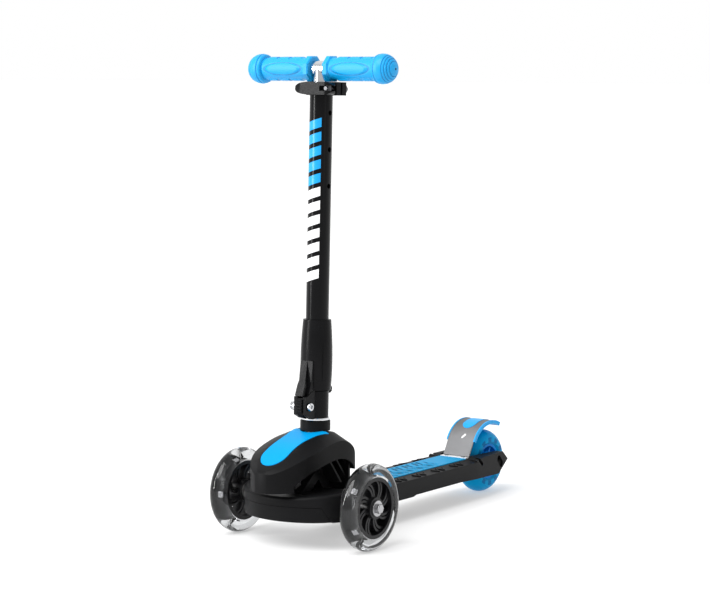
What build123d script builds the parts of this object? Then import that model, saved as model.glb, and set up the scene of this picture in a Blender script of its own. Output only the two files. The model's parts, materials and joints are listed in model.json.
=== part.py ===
from build123d import *
from math import cos, radians, sin
import os

os.makedirs("parts", exist_ok=True)

# A child's folding three-wheel kick scooter that steers by leaning.
# Millimetres, +Z up, floor at Z = 0, the nose faces -Y and the rider's left hand is +X.
# The origin is on the floor under the middle of the scooter's length.

# Driving dimensions: wheels and their places
WHEELBASE = 450.0
TRACK = 224.0
FRONT_R = 60.0
FRONT_TYRE_W = 25.0
FRONT_CORE_R = 42.0
REAR_R = 48.0
REAR_TYRE_W = 36.0
REAR_CORE_R = 27.0
NOSE_REACH = 95.0

# Fits: shaft in hole, moving faces side by side, and fixed pieces laid together
RUN_FIT = 0.05
SIDE_GAP = 0.4
LAID_GAP = 0.15

# Axles and bearings
AXLE_R = 4.0
BEARING_R = 11.0
BEARING_W = 7.0
SPACER_R = 7.0

# Column: tilt, stack of pieces at its foot, tubes
COLUMN_TILT = 2.0
COLUMN_FOOT_Y = 27.4
COLUMN_FOOT_Z = 152.0
COLLAR_R = 21.0
COLLAR_H = 14.0
RING_R = 20.0
RING_H = 4.0
BLOCK_H = 37.4
STEM_R = 14.0
STEM_DEPTH = 48.0
TUBE_R = 15.9
TUBE_WALL = 2.0
TUBE_LENGTH = 415.6
BAR_STEM_R = 11.6
BAR_WALL = 1.5
BAR_HOLD = 80.4
CROSSBAR_R = 11.1
CROSSBAR_RISE = 18.0
BAR_TRAVEL = 150.0
HOLE_PITCH = 50.0
HOLES = round(BAR_TRAVEL / HOLE_PITCH)
HOLE_R = 3.6
TOP_HOLE_DEPTH = 42.0

# Handlebar grips
GRIP_START = 12.0
BULB_X = 102.8
BULB_R = 20.7
GRIP_R = 16.3
FLANGE_R = 17.6
FLANGE_W = 7.0

# Steering: lean of the kingpin axis from the floor, bracket and boss
STEER_ANGLE = 52.0
KINGPIN_R = 5.0
BUSH_R = 14.0
BOSS_HALF = 12.6
LUG_H = 14.0
NECK_HALF = 17.0
BEAM_HALF = 88.0
BEAM_LOW = 40.0
BEAM_TOP = 74.0
BEAM_RISE = 6.0

# Head hood and deck
HOOD_HALF = 50.0
HOOD_LIP = 81.5
HOOD_WALL = 3.6
PLATE_T = 2.4
PLATE_GAP = 0.5
DECK_HALF = 44.0
DECK_TOP = 62.3
DECK_LOW = 34.0
DECK_SKIN = 4.5
MAT_HALF = 24.0
MAT_T = 2.4
MAT_INSET = 0.9
FORK_GAP = 4.0
BRAKE_HALF = 23.0
BRAKE_T = 2.0

# Places worked out from the driving dimensions
FRONT_Y = NOSE_REACH - (NOSE_REACH + WHEELBASE + REAR_R) / 2
REAR_Y = FRONT_Y + WHEELBASE
X_AXIS = (1, 0, 0)
FLOOR = Plane(origin=(0, FRONT_Y, 0), x_dir=X_AXIS, z_dir=(0, 0, 1))
SIDE = Plane(origin=(0, FRONT_Y, 0), x_dir=(0, 1, 0), z_dir=X_AXIS)
REAR_HUB = Plane(origin=(0, REAR_Y, REAR_R), x_dir=(0, 1, 0), z_dir=X_AXIS)

TILT = radians(COLUMN_TILT)
COLUMN_AXIS = (0, sin(TILT), cos(TILT))
COLUMN_BACK = (0, cos(TILT), -sin(TILT))
COLUMN_FRONT = (0, -cos(TILT), sin(TILT))
COLUMN_FOOT = (0, FRONT_Y + COLUMN_FOOT_Y, COLUMN_FOOT_Z)
COLUMN = Plane(origin=COLUMN_FOOT, x_dir=X_AXIS, z_dir=COLUMN_AXIS)
COLUMN_SECTION = Plane(origin=COLUMN_FOOT, x_dir=X_AXIS, z_dir=COLUMN_FRONT)
COLUMN_SIDE = Plane(origin=COLUMN_FOOT, x_dir=COLUMN_BACK, z_dir=X_AXIS)

STEER = radians(STEER_ANGLE)
KING_POINT = (0, FRONT_Y, FRONT_R)
KING_AXIS = (0, -cos(STEER), sin(STEER))
KING = Plane(origin=KING_POINT, x_dir=X_AXIS, z_dir=KING_AXIS)
KING_SIDE = Plane(origin=KING_POINT, x_dir=(0, sin(STEER), cos(STEER)), z_dir=X_AXIS)

RISE = (Align.CENTER, Align.CENTER, Align.MIN)
RISE_BACK = (Align.CENTER, Align.MIN, Align.MIN)
SINK_BACK = (Align.CENTER, Align.MIN, Align.MAX)
SINK = (Align.CENTER, Align.CENTER, Align.MAX)


def front_hub(side):
    """Plane at a front wheel's centre, its Z pointing outward from the scooter."""
    return Plane(origin=(side * TRACK / 2, FRONT_Y, FRONT_R), x_dir=(0, side, 0), z_dir=(side, 0, 0))


def polar(radius, degrees):
    """Point in a plane at a radius and an angle."""
    return (radius * cos(radians(degrees)), radius * sin(radians(degrees)))


def tyre_ring(hub, core_r, outer_r, width, shoulder):
    """Tyre turned about its hub's axis, round across the tread."""
    half = width / 2
    lip = width / 12
    section = Plane(origin=hub.origin, x_dir=hub.z_dir, z_dir=hub.x_dir * -1)
    with BuildPart() as ring:
        with BuildSketch(section):
            with BuildLine():
                ThreePointArc((-half, outer_r - shoulder), (0, outer_r), (half, outer_r - shoulder))
                Polyline(
                    (half, outer_r - shoulder),
                    (half, core_r + lip),
                    (half - lip, core_r),
                    (lip - half, core_r),
                    (-half, core_r + lip),
                    (-half, outer_r - shoulder),
                )
            make_face()
        revolve(axis=Axis(hub.origin, hub.z_dir))
    return ring.part


# Front wheels: clear tyre, spoked core, lights, bearings
SHOULDER = 11.0
CORE_W = 22.0
CORE_RIM = 5.0
HUB_R = 15.0
HUB_W = 24.0
SPOKES = 8
SPOKE_T = 3.2
SPOKE_W = 15.0
SPOKE_SWEEP = 28.0
SPOKE_PAIR = ((0.0, 7.0), (13.0, 19.0))
LIGHTS = 5
LIGHT_SIZE = (4.0, 8.0, 6.0)
BEARING_PLACE = (HUB_W - BEARING_W) / 2

for side, name in ((1, "left"), (-1, "right")):
    hub = front_hub(side)

    with BuildPart(hub) as lights:
        with PolarLocations(FRONT_CORE_R + LIGHT_SIZE[0] / 4, LIGHTS):
            Box(*LIGHT_SIZE)
    lights.part.label = f"{name}_wheel_lights"
    export_step(lights.part, f"parts/{name}_wheel_lights.step")

    ring = tyre_ring(hub, FRONT_CORE_R, FRONT_R, FRONT_TYRE_W, SHOULDER)
    with BuildPart() as tyre:
        add(ring)
        add(lights.part, mode=Mode.SUBTRACT)
    tyre.part.label = f"{name}_wheel_tyre"
    export_step(tyre.part, f"parts/{name}_wheel_tyre.step")

    with BuildPart() as core:
        with Locations(hub):
            Cylinder(FRONT_CORE_R, CORE_W)
            Cylinder(FRONT_CORE_R - CORE_RIM, CORE_W, mode=Mode.SUBTRACT)
            Cylinder(HUB_R, HUB_W)
        with BuildSketch(hub):
            for turn in range(SPOKES):
                start = 360 * turn / SPOKES
                for lead, bow in SPOKE_PAIR:
                    with BuildLine():
                        ThreePointArc(
                            polar(HUB_R - 1, start + lead),
                            polar((HUB_R + FRONT_CORE_R) / 2, start + bow),
                            polar(FRONT_CORE_R - CORE_RIM / 2, start + lead + SPOKE_SWEEP),
                        )
                    trace(line_width=SPOKE_T)
        extrude(amount=SPOKE_W / 2, both=True)
        with Locations(hub):
            Cylinder(BEARING_R, HUB_W, mode=Mode.SUBTRACT)
        add(lights.part, mode=Mode.SUBTRACT)
    core.part.label = f"{name}_wheel_core"
    export_step(core.part, f"parts/{name}_wheel_core.step")

    with BuildPart(hub) as bearings:
        with Locations((0, 0, BEARING_PLACE), (0, 0, -BEARING_PLACE)):
            Cylinder(BEARING_R, BEARING_W)
            Cylinder(AXLE_R + RUN_FIT, BEARING_W, mode=Mode.SUBTRACT)
    bearings.part.label = f"{name}_wheel_bearings"
    export_step(bearings.part, f"parts/{name}_wheel_bearings.step")

# Front axle bolts with their washers, and the spacers that keep wheels off the beam
WASHER_R = 11.0
WASHER_T = 2.0
BOLT_HEAD_R = 7.0
BOLT_HEAD_H = 5.5
AXLE_GRIP = 25.0
AXLE_LAND = HUB_W / 2 + SIDE_GAP
BEAM_END = TRACK / 2 - BEAM_HALF

for side, name in ((1, "left"), (-1, "right")):
    hub = front_hub(side)
    with BuildPart(hub) as axle:
        with Locations((0, 0, AXLE_LAND + WASHER_T)):
            Cylinder(AXLE_R, AXLE_LAND + WASHER_T + BEAM_END + AXLE_GRIP, align=SINK)
        with BuildSketch(hub.offset(AXLE_LAND + WASHER_T)):
            RegularPolygon(BOLT_HEAD_R, 6)
        extrude(amount=BOLT_HEAD_H)
        chamfer(axle.faces().sort_by(Axis(hub.origin, hub.z_dir))[-1].edges(), BOLT_HEAD_H / 6)
    axle.part.label = f"{name}_axle"
    export_step(axle.part, f"parts/{name}_axle.step")

with BuildPart() as axle_washers:
    for side in (1, -1):
        with Locations(front_hub(side).offset(AXLE_LAND)):
            Cylinder(WASHER_R, WASHER_T, align=RISE)
            Cylinder(AXLE_R, WASHER_T, align=RISE, mode=Mode.SUBTRACT)
axle_washers.part.label = "axle_washers"
export_step(axle_washers.part, "parts/axle_washers.step")

with BuildPart() as axle_spacers:
    for side in (1, -1):
        with Locations(front_hub(side).offset(-BEAM_END)):
            Cylinder(SPACER_R, BEAM_END - AXLE_LAND, align=RISE)
            Cylinder(AXLE_R, BEAM_END - AXLE_LAND, align=RISE, mode=Mode.SUBTRACT)
axle_spacers.part.label = "axle_spacers"
export_step(axle_spacers.part, "parts/axle_spacers.step")

# Front truck: the beam between the wheels, its front cover and the rubber bush at its heart
BEAM_NOSE = 72.0
BEAM_BACK = 22.0
BEAM_WALL = 5.0
POCKET_HALF = NECK_HALF + 9.0
POCKET_BOTTOM = 21.0
COVER_HALF = 76.0
COVER_T = 3.0
COVER_LEAN = 10.0
COVER_TOP = 61.5
COVER_GAP = 0.5


def beam_outline(inset):
    """Plan of the truck beam, drawn in by the inset: half an ellipse with a straight back."""
    half = BEAM_HALF - inset
    back = BEAM_BACK - inset
    with BuildSketch(FLOOR) as outline:
        with BuildLine():
            EllipticalCenterArc((0, 0), half, BEAM_NOSE - inset, start_angle=180, arc_size=180)
            Polyline((half, 0), (half, back), (-half, back), (-half, 0))
        make_face()
    return outline.sketch


with BuildPart() as cover_slot:
    add(beam_outline(0).moved(Location((0, 0, BEAM_LOW))))
    extrude(amount=COVER_TOP - BEAM_LOW)
    add(extrude(beam_outline(COVER_T), amount=BEAM_TOP, mode=Mode.PRIVATE), mode=Mode.SUBTRACT)
    with BuildSketch(Plane.XZ.offset(-FRONT_Y + BEAM_NOSE)):
        Polygon(
            (-COVER_HALF, BEAM_LOW),
            (COVER_HALF, BEAM_LOW),
            (COVER_HALF - COVER_LEAN, COVER_TOP),
            (COVER_LEAN - COVER_HALF, COVER_TOP),
            align=None,
        )
    extrude(amount=-BEAM_NOSE, mode=Mode.INTERSECT)

with BuildPart() as beam_hollow:
    add(beam_outline(BEAM_WALL + COVER_T).moved(Location((0, 0, BEAM_LOW))))
    extrude(amount=BEAM_TOP - BEAM_WALL - BEAM_LOW)
    with Locations(FLOOR):
        Box(2 * (POCKET_HALF + BEAM_WALL), 4 * BEAM_NOSE, 4 * FRONT_R, mode=Mode.SUBTRACT)

with BuildPart() as truck_beam:
    add(beam_outline(0).moved(Location((0, 0, BEAM_LOW))))
    extrude(amount=BEAM_TOP + BEAM_RISE - BEAM_LOW)
    with BuildSketch(Plane.XZ.offset(-FRONT_Y + BEAM_NOSE)):
        with BuildLine():
            top = ThreePointArc(
                (-BEAM_HALF, BEAM_TOP + BEAM_RISE),
                (0, BEAM_TOP),
                (BEAM_HALF, BEAM_TOP + BEAM_RISE),
            )
            Line(top @ 1, top @ 0)
        make_face()
    extrude(amount=-2 * BEAM_NOSE, mode=Mode.SUBTRACT)
    fillet(truck_beam.faces().sort_by(Axis.Z)[-1].edges(), BEAM_WALL)
    add(beam_hollow.part, mode=Mode.SUBTRACT)
    for side in (1, -1):
        with Locations(front_hub(side).offset(-BEAM_END)):
            Cylinder(AXLE_R + BEAM_WALL, AXLE_GRIP, align=SINK)
            Cylinder(AXLE_R, AXLE_GRIP, align=SINK, mode=Mode.SUBTRACT)
    with BuildSketch(KING_SIDE):
        Polygon(
            (POCKET_BOTTOM, -BOSS_HALF),
            (-POCKET_BOTTOM, -BOSS_HALF),
            (-POCKET_BOTTOM, -3 * FRONT_R),
            (3 * FRONT_R, -3 * FRONT_R),
            (3 * FRONT_R, 3 * FRONT_R),
            (-POCKET_BOTTOM, 3 * FRONT_R),
            (-POCKET_BOTTOM, BOSS_HALF),
            (POCKET_BOTTOM, BOSS_HALF),
            align=None,
        )
    extrude(amount=POCKET_HALF, both=True, mode=Mode.SUBTRACT)
    with Locations(KING):
        Cylinder(BUSH_R, 2 * BOSS_HALF, mode=Mode.SUBTRACT)
    add(cover_slot.part, mode=Mode.SUBTRACT)
truck_beam.part.label = "truck_beam"
export_step(truck_beam.part, "parts/truck_beam.step")

with BuildPart() as truck_cover:
    add(cover_slot.part)
    offset(amount=-COVER_GAP)
truck_cover.part.label = "truck_cover"
export_step(truck_cover.part, "parts/truck_cover.step")

with BuildPart(KING) as steering_bush:
    Cylinder(BUSH_R, 2 * BOSS_HALF)
    Cylinder(KINGPIN_R + RUN_FIT, 2 * BOSS_HALF, mode=Mode.SUBTRACT)
steering_bush.part.label = "steering_bush"
export_step(steering_bush.part, "parts/steering_bush.step")

# Kingpin bolt and nut, clamped across the neck's two lugs
LUG_FACE = BOSS_HALF + SIDE_GAP
LUG_END = LUG_FACE + LUG_H
KING_HEAD_R = 8.5
KING_HEAD_H = 6.0

with BuildPart(KING) as kingpin:
    Cylinder(KINGPIN_R, 2 * (LUG_END + KING_HEAD_H))
    with BuildSketch(KING.offset(LUG_END)):
        RegularPolygon(KING_HEAD_R, 6)
    extrude(amount=KING_HEAD_H)
kingpin.part.label = "kingpin"
export_step(kingpin.part, "parts/kingpin.step")

with BuildPart(KING) as kingpin_nut:
    with BuildSketch(KING.offset(-LUG_END)):
        RegularPolygon(KING_HEAD_R, 6)
        Circle(KINGPIN_R, mode=Mode.SUBTRACT)
    extrude(amount=-KING_HEAD_H)
kingpin_nut.part.label = "kingpin_nut"
export_step(kingpin_nut.part, "parts/kingpin_nut.step")

# Head hood: a moulded shell over the neck, with an arched window on each side
# Each station: place from the axle, half width, crease height, plate half width, plate height
HOOD_STATIONS = (
    (-NOSE_REACH, 0.18, 106.5, 0.10, 108.5),
    (-86.0, 0.47, 111.0, 0.25, 115.5),
    (-70.0, 0.73, 119.0, 0.39, 125.0),
    (-45.0, 0.92, 129.0, 0.44, 137.8),
    (-8.0, 0.99, 138.5, 0.46, 148.0),
    (22.0, 1.00, 142.0, 0.52, 152.6),
    (42.0, 1.00, 136.0, 0.52, 147.0),
    (57.0, 0.94, 118.0, 0.50, 124.0),
)
# The window's arch, front to back, and the foot and back of the opening below it
ARCH = (
    (-69.0, 90.0),
    (-47.0, 104.0),
    (-9.0, 114.5),
    (21.0, 117.0),
    (44.0, 109.0),
    (54.0, 98.0),
)
ARCH_FOOT = BEAM_LOW
ARCH_BACK = ARCH[-1][0] + 2 * HOOD_WALL
# The cover plate's plan, half of it: nose, sides and the wide end round the column
TONGUE_NOSE = 82.0
TONGUE_SIDE = ((20.4, -61.0), (20.2, -36.0), (22.4, -8.0), (31.0, 18.0))


def hood_mass(wall):
    """The hood as one solid, drawn in by the wall on its sides, ends and top."""
    first = HOOD_STATIONS[0][0]
    last = HOOD_STATIONS[-1][0]
    shrink = (last - first - 2 * wall) / (last - first)
    with BuildPart() as mass:
        for place, side_share, crease, plate_share, top in HOOD_STATIONS:
            y = first + wall + (place - first) * shrink
            half = side_share * HOOD_HALF - wall
            plate = min(plate_share * HOOD_HALF, half - 1)
            with BuildSketch(Plane(origin=(0, FRONT_Y + y, 0), x_dir=X_AXIS, z_dir=(0, -1, 0))):
                Polygon(
                    (half, HOOD_LIP),
                    (half, crease - wall),
                    (plate, top - wall),
                    (-plate, top - wall),
                    (-half, crease - wall),
                    (-half, HOOD_LIP),
                    align=None,
                )
        loft()
    return mass.part


def tongue(gap):
    """Plan of the cover plate: a rounded tongue that widens round the column."""
    end = TONGUE_SIDE[-1][1]
    right = [(x + gap, y + gap * (y == end)) for x, y in TONGUE_SIDE]
    left = [(-x, y) for x, y in right]
    with BuildSketch(FLOOR) as plan:
        with BuildLine():
            ThreePointArc(left[0], (0, -TONGUE_NOSE - gap), right[0])
            Spline(*right)
            Spline(*left)
            Line(right[-1], left[-1])
        make_face()
    return plan.sketch


hood_outside = hood_mass(0)
hood_inside = hood_mass(HOOD_WALL)
plate_seat = hood_mass(PLATE_T)
plate_top = hood_mass(-PLATE_T / 4)

with BuildPart() as plate_recess:
    add(tongue(PLATE_GAP))
    extrude(amount=2 * COLUMN_FOOT_Z)
    add(plate_seat, mode=Mode.SUBTRACT)
    with BuildSketch(FLOOR):
        Rectangle(4 * HOOD_HALF, 4 * NOSE_REACH)
    extrude(amount=HOOD_LIP, mode=Mode.SUBTRACT)

with BuildPart() as head_hood:
    add(hood_outside)
    add(hood_inside, mode=Mode.SUBTRACT)
    with BuildSketch(SIDE):
        with BuildLine():
            Spline(*ARCH)
            Polyline(
                ARCH[-1],
                (ARCH_BACK, ARCH[-1][1]),
                (ARCH_BACK, ARCH_FOOT),
                (ARCH[0][0], ARCH_FOOT),
                ARCH[0],
            )
        make_face()
    extrude(amount=2 * HOOD_HALF, both=True, mode=Mode.SUBTRACT)
    add(plate_recess.part, mode=Mode.SUBTRACT)
    with Locations(COLUMN):
        Cylinder(COLLAR_R + LAID_GAP, COLLAR_H, align=RISE, mode=Mode.SUBTRACT)
        Cylinder(STEM_R + LAID_GAP, COLLAR_H * 2, mode=Mode.SUBTRACT)
head_hood.part.label = "head_hood"
export_step(head_hood.part, "parts/head_hood.step")

with BuildPart() as head_cover_plate:
    add(tongue(0))
    extrude(amount=2 * COLUMN_FOOT_Z)
    add(plate_top, mode=Mode.INTERSECT)
    add(plate_seat, mode=Mode.SUBTRACT)
    with Locations(COLUMN):
        Cylinder(COLLAR_R + LAID_GAP, COLLAR_H * 2, mode=Mode.SUBTRACT)
head_cover_plate.part.label = "head_cover_plate"
export_step(head_cover_plate.part, "parts/head_cover_plate.step")

# Neck: the bracket that joins deck, kingpin and column, with a grille of ribs behind each window
TAIL_END = 110.0
TAIL_LOW = 44.2
STEM_BLOCK_R = 21.0
STEM_BLOCK_H = 56.0
RIB_T = 3.0
RIB_HALF = 40.0
RIB_PLACES = (40.0, 52.0, 64.0, 76.0)
NECK_BACK = 41.0
NECK_WALL = 26.0
BULKHEAD_HALF = 45.0
BULKHEAD_PLACE = 44.0
BULKHEAD_T = 4.0

with BuildPart() as grille:
    with BuildSketch(KING_SIDE):
        with Locations(*((place, FRONT_R / 2) for place in RIB_PLACES)):
            Rectangle(RIB_T, 2 * FRONT_R)
    extrude(amount=RIB_HALF, both=True)
    add(hood_inside, mode=Mode.INTERSECT)

with BuildPart() as stem_socket:
    with Locations(COLUMN):
        Cylinder(STEM_BLOCK_R, STEM_BLOCK_H, align=SINK)
    add(hood_inside, mode=Mode.INTERSECT)

with BuildPart() as bulkhead:
    with Locations(FLOOR.offset(HOOD_LIP)):
        with Locations((0, BULKHEAD_PLACE)):
            Box(2 * BULKHEAD_HALF, BULKHEAD_T, COLUMN_FOOT_Z, align=RISE_BACK)
    add(hood_inside, mode=Mode.INTERSECT)
    with Locations(FLOOR.offset(HOOD_LIP)):
        with Locations((0, BULKHEAD_PLACE)):
            Box(2 * BULKHEAD_HALF, BULKHEAD_T, HOOD_LIP - DECK_TOP, align=SINK_BACK)

with BuildPart() as frame_neck:
    with BuildSketch(KING_SIDE):
        Polygon(
            (-KING_HEAD_R - 6, LUG_FACE),
            (-KING_HEAD_R - 6, LUG_END),
            (NECK_BACK, LUG_END),
            (NECK_BACK, -LUG_END),
            (-KING_HEAD_R - 6, -LUG_END),
            (-KING_HEAD_R - 6, -LUG_FACE),
            (NECK_WALL, -LUG_FACE),
            (NECK_WALL, LUG_FACE),
            align=None,
        )
    extrude(amount=NECK_HALF, both=True)
    with BuildSketch(SIDE):
        Polygon(
            (NECK_WALL, TAIL_LOW),
            (TAIL_END, TAIL_LOW),
            (TAIL_END, DECK_TOP - DECK_SKIN),
            (NECK_WALL, DECK_TOP - DECK_SKIN),
            align=None,
        )
    extrude(amount=NECK_HALF, both=True)
    add(stem_socket.part)
    add(grille.part)
    add(bulkhead.part)
    with Locations(COLUMN):
        Cylinder(STEM_R, STEM_DEPTH, align=SINK, mode=Mode.SUBTRACT)
    with Locations(KING):
        Cylinder(KINGPIN_R, 2 * LUG_END, mode=Mode.SUBTRACT)
        with Locations((0, 0, LUG_END)):
            Cylinder(KING_HEAD_R + SIDE_GAP, 3 * KING_HEAD_H, align=RISE, mode=Mode.SUBTRACT)
frame_neck.part.label = "frame_neck"
export_step(frame_neck.part, "parts/frame_neck.step")

# Stem post, collar and ring at the foot of the column
BLOCK_FOOT = COLLAR_H + RING_H
BLOCK_TOP = BLOCK_FOOT + BLOCK_H
STEM_SOCKET = 22.0

with BuildPart(COLUMN) as stem_post:
    with Locations((0, 0, -STEM_DEPTH)):
        Cylinder(STEM_R, STEM_DEPTH + BLOCK_FOOT + STEM_SOCKET, align=RISE)
        Cylinder(STEM_R - TUBE_WALL, STEM_DEPTH + BLOCK_FOOT + STEM_SOCKET, align=RISE, mode=Mode.SUBTRACT)
stem_post.part.label = "stem_post"
export_step(stem_post.part, "parts/stem_post.step")

with BuildPart(COLUMN) as stem_collar:
    Cylinder(COLLAR_R, COLLAR_H, align=RISE)
    Cylinder(STEM_R, COLLAR_H, align=RISE, mode=Mode.SUBTRACT)
    fillet(stem_collar.faces().sort_by(Axis.Z)[-1].edges(), 1)
stem_collar.part.label = "stem_collar"
export_step(stem_collar.part, "parts/stem_collar.step")

with BuildPart(COLUMN.offset(COLLAR_H)) as stem_ring:
    Cylinder(RING_R, RING_H, align=RISE)
    Cylinder(STEM_R, RING_H, align=RISE, mode=Mode.SUBTRACT)
    chamfer(stem_ring.edges().filter_by(GeomType.CIRCLE).group_by(SortBy.RADIUS)[-1], RING_H / 4)
stem_ring.part.label = "stem_ring"
export_step(stem_ring.part, "parts/stem_ring.step")

# Fold hinge: block on the stem, casting under the tube, pin at the back
BLOCK_R = 18.0
EAR_HALF = 10.5
EAR_REACH = 36.0
EAR_TOP = 49.0
EAR_CHAMFER = (12.0, 6.0)
SLOPE_START = 24.0
SLOPE_END = 33.0
SLOT_HALF = 4.8
SLOT_BACK = 17.0
PIN_R = 2.5
PIN_BACK = 19.0
KNUCKLE_R = 5.5
KNUCKLE_HALF = 5.0
KNUCKLE_OUT = 10.0
HINGE_S = BLOCK_TOP + 2 * SIDE_GAP
LATCH_R = 3.0
LATCH_FRONT = 28.0
LATCH_S = 35.0
CAST_H = 8.0
CAST_R = 18.4
SPIGOT_H = 46.0

with BuildPart() as hinge_block:
    with BuildSketch(COLUMN.offset(BLOCK_FOOT)):
        Circle(BLOCK_R)
        with Locations((0, -EAR_REACH / 2)):
            Rectangle(2 * EAR_HALF, EAR_REACH)
    extrude(amount=BLOCK_H)
    with BuildSketch(COLUMN_SIDE):
        Polygon(
            (-SLOPE_START, BLOCK_TOP),
            (-SLOPE_END, EAR_TOP),
            (-EAR_REACH, EAR_TOP),
            (-EAR_REACH, 2 * BLOCK_TOP),
            (-SLOPE_START, 2 * BLOCK_TOP),
            align=None,
        )
        Polygon(
            (-EAR_REACH, BLOCK_FOOT),
            (-EAR_REACH, BLOCK_FOOT + EAR_CHAMFER[1]),
            (EAR_CHAMFER[0] - EAR_REACH, BLOCK_FOOT),
            align=None,
        )
    extrude(amount=EAR_HALF, both=True, mode=Mode.SUBTRACT)
    with BuildSketch(COLUMN_SIDE):
        with Locations((PIN_BACK, HINGE_S)):
            Circle(KNUCKLE_R)
        Polygon(
            (PIN_BACK - KNUCKLE_R, HINGE_S),
            (PIN_BACK + KNUCKLE_R, HINGE_S),
            (0, HINGE_S - 4 * KNUCKLE_R),
            align=None,
        )
    extrude(amount=KNUCKLE_HALF, both=True)
    for side in (1, -1):
        with BuildSketch(COLUMN_SIDE.offset(side * KNUCKLE_HALF)):
            with Locations((PIN_BACK, HINGE_S)):
                Circle(KNUCKLE_R + 2 * SIDE_GAP)
        extrude(amount=side * (KNUCKLE_OUT + SIDE_GAP - KNUCKLE_HALF), mode=Mode.SUBTRACT)
    with BuildSketch(COLUMN_SIDE):
        with Locations((PIN_BACK, HINGE_S)):
            Circle(PIN_R)
        with Locations((-LATCH_FRONT, LATCH_S)):
            Circle(LATCH_R)
    extrude(amount=2 * EAR_HALF, both=True, mode=Mode.SUBTRACT)
    with BuildSketch(COLUMN.offset(BLOCK_FOOT)):
        with Locations((0, -(SLOT_BACK + 2 * EAR_REACH) / 2)):
            Rectangle(2 * SLOT_HALF, 2 * EAR_REACH - SLOT_BACK)
    extrude(amount=BLOCK_H, mode=Mode.SUBTRACT)
    with Locations(COLUMN.offset(BLOCK_FOOT)):
        Cylinder(STEM_R, STEM_SOCKET, align=RISE, mode=Mode.SUBTRACT)
hinge_block.part.label = "hinge_block"
export_step(hinge_block.part, "parts/hinge_block.step")

with BuildPart() as fold_pin:
    with BuildSketch(COLUMN_SIDE):
        with Locations((PIN_BACK, HINGE_S)):
            Circle(PIN_R)
    extrude(amount=KNUCKLE_OUT, both=True)
fold_pin.part.label = "fold_pin"
export_step(fold_pin.part, "parts/fold_pin.step")

with BuildPart() as hinge_casting:
    with Locations(COLUMN.offset(HINGE_S)):
        Cylinder(CAST_R, CAST_H, align=RISE)
        Cylinder(TUBE_R - TUBE_WALL, CAST_H + SPIGOT_H, align=RISE)
    with BuildSketch(COLUMN_SIDE):
        with Locations((PIN_BACK, HINGE_S)):
            Circle(KNUCKLE_R)
        Polygon(
            (PIN_BACK + KNUCKLE_R / 2, HINGE_S),
            (PIN_BACK + KNUCKLE_R / 2, HINGE_S + CAST_H),
            (0, HINGE_S + CAST_H),
            (0, HINGE_S),
            align=None,
        )
    extrude(amount=KNUCKLE_OUT, both=True)
    with BuildSketch(COLUMN_SIDE):
        with Locations((PIN_BACK, HINGE_S)):
            Circle(KNUCKLE_R + 2 * SIDE_GAP)
    extrude(amount=KNUCKLE_HALF + SIDE_GAP, both=True, mode=Mode.SUBTRACT)
    with BuildSketch(COLUMN_SIDE):
        with Locations((PIN_BACK, HINGE_S)):
            Circle(PIN_R + RUN_FIT)
    extrude(amount=2 * KNUCKLE_OUT, both=True, mode=Mode.SUBTRACT)
hinge_casting.part.label = "hinge_casting"
export_step(hinge_casting.part, "parts/hinge_casting.step")

# Hinge cover: moulded sleeve with a fin that flares down to the trigger
SLEEVE_H = 97.4
SLEEVE_FOOT = HINGE_S + SIDE_GAP
SLEEVE_TOP_R = 19.5
SLEEVE_MID_R = 22.2
SLEEVE_LOW_R = 20.6
FIN_HALF = 6.5
FIN_REACH = 39.5
FIN_FOOT = EAR_TOP + 1.5
FIN_H = 47.0
FIN_POINT = 1.0
CHEEK_HALF = EAR_HALF
CHEEK_REACH = 31.0
GROOVE_TURN = 32.0
GROOVE_W = 2.4
GROOVE_DEPTH = 1.0
GROOVE_START = 14.0
GROOVE_H = 50.0



def flare(half, reach):
    """Flared block on the sleeve's front, with its side faces parallel."""
    with BuildPart() as block:
        with BuildSketch(COLUMN_SIDE):
            Polygon(
                (-TUBE_R, FIN_FOOT + FIN_H),
                (-SLEEVE_MID_R, FIN_FOOT + FIN_H),
                (-reach + 5, FIN_FOOT + 0.3 * FIN_H),
                (-reach, FIN_FOOT),
                (-TUBE_R, FIN_FOOT),
                align=None,
            )
        extrude(amount=half, both=True)
    return block.part


with BuildPart() as fin:
    add(flare(FIN_HALF, FIN_REACH))
    with BuildSketch(COLUMN_SECTION):
        Polygon(
            (-FIN_HALF, FIN_FOOT),
            (FIN_HALF, FIN_FOOT),
            (FIN_HALF, FIN_FOOT + 0.3 * FIN_H),
            (FIN_POINT, FIN_FOOT + FIN_H),
            (-FIN_POINT, FIN_FOOT + FIN_H),
            (-FIN_HALF, FIN_FOOT + 0.3 * FIN_H),
            align=None,
        )
    extrude(amount=2 * FIN_REACH, both=True, mode=Mode.INTERSECT)

cheeks = flare(CHEEK_HALF, CHEEK_REACH)

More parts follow.
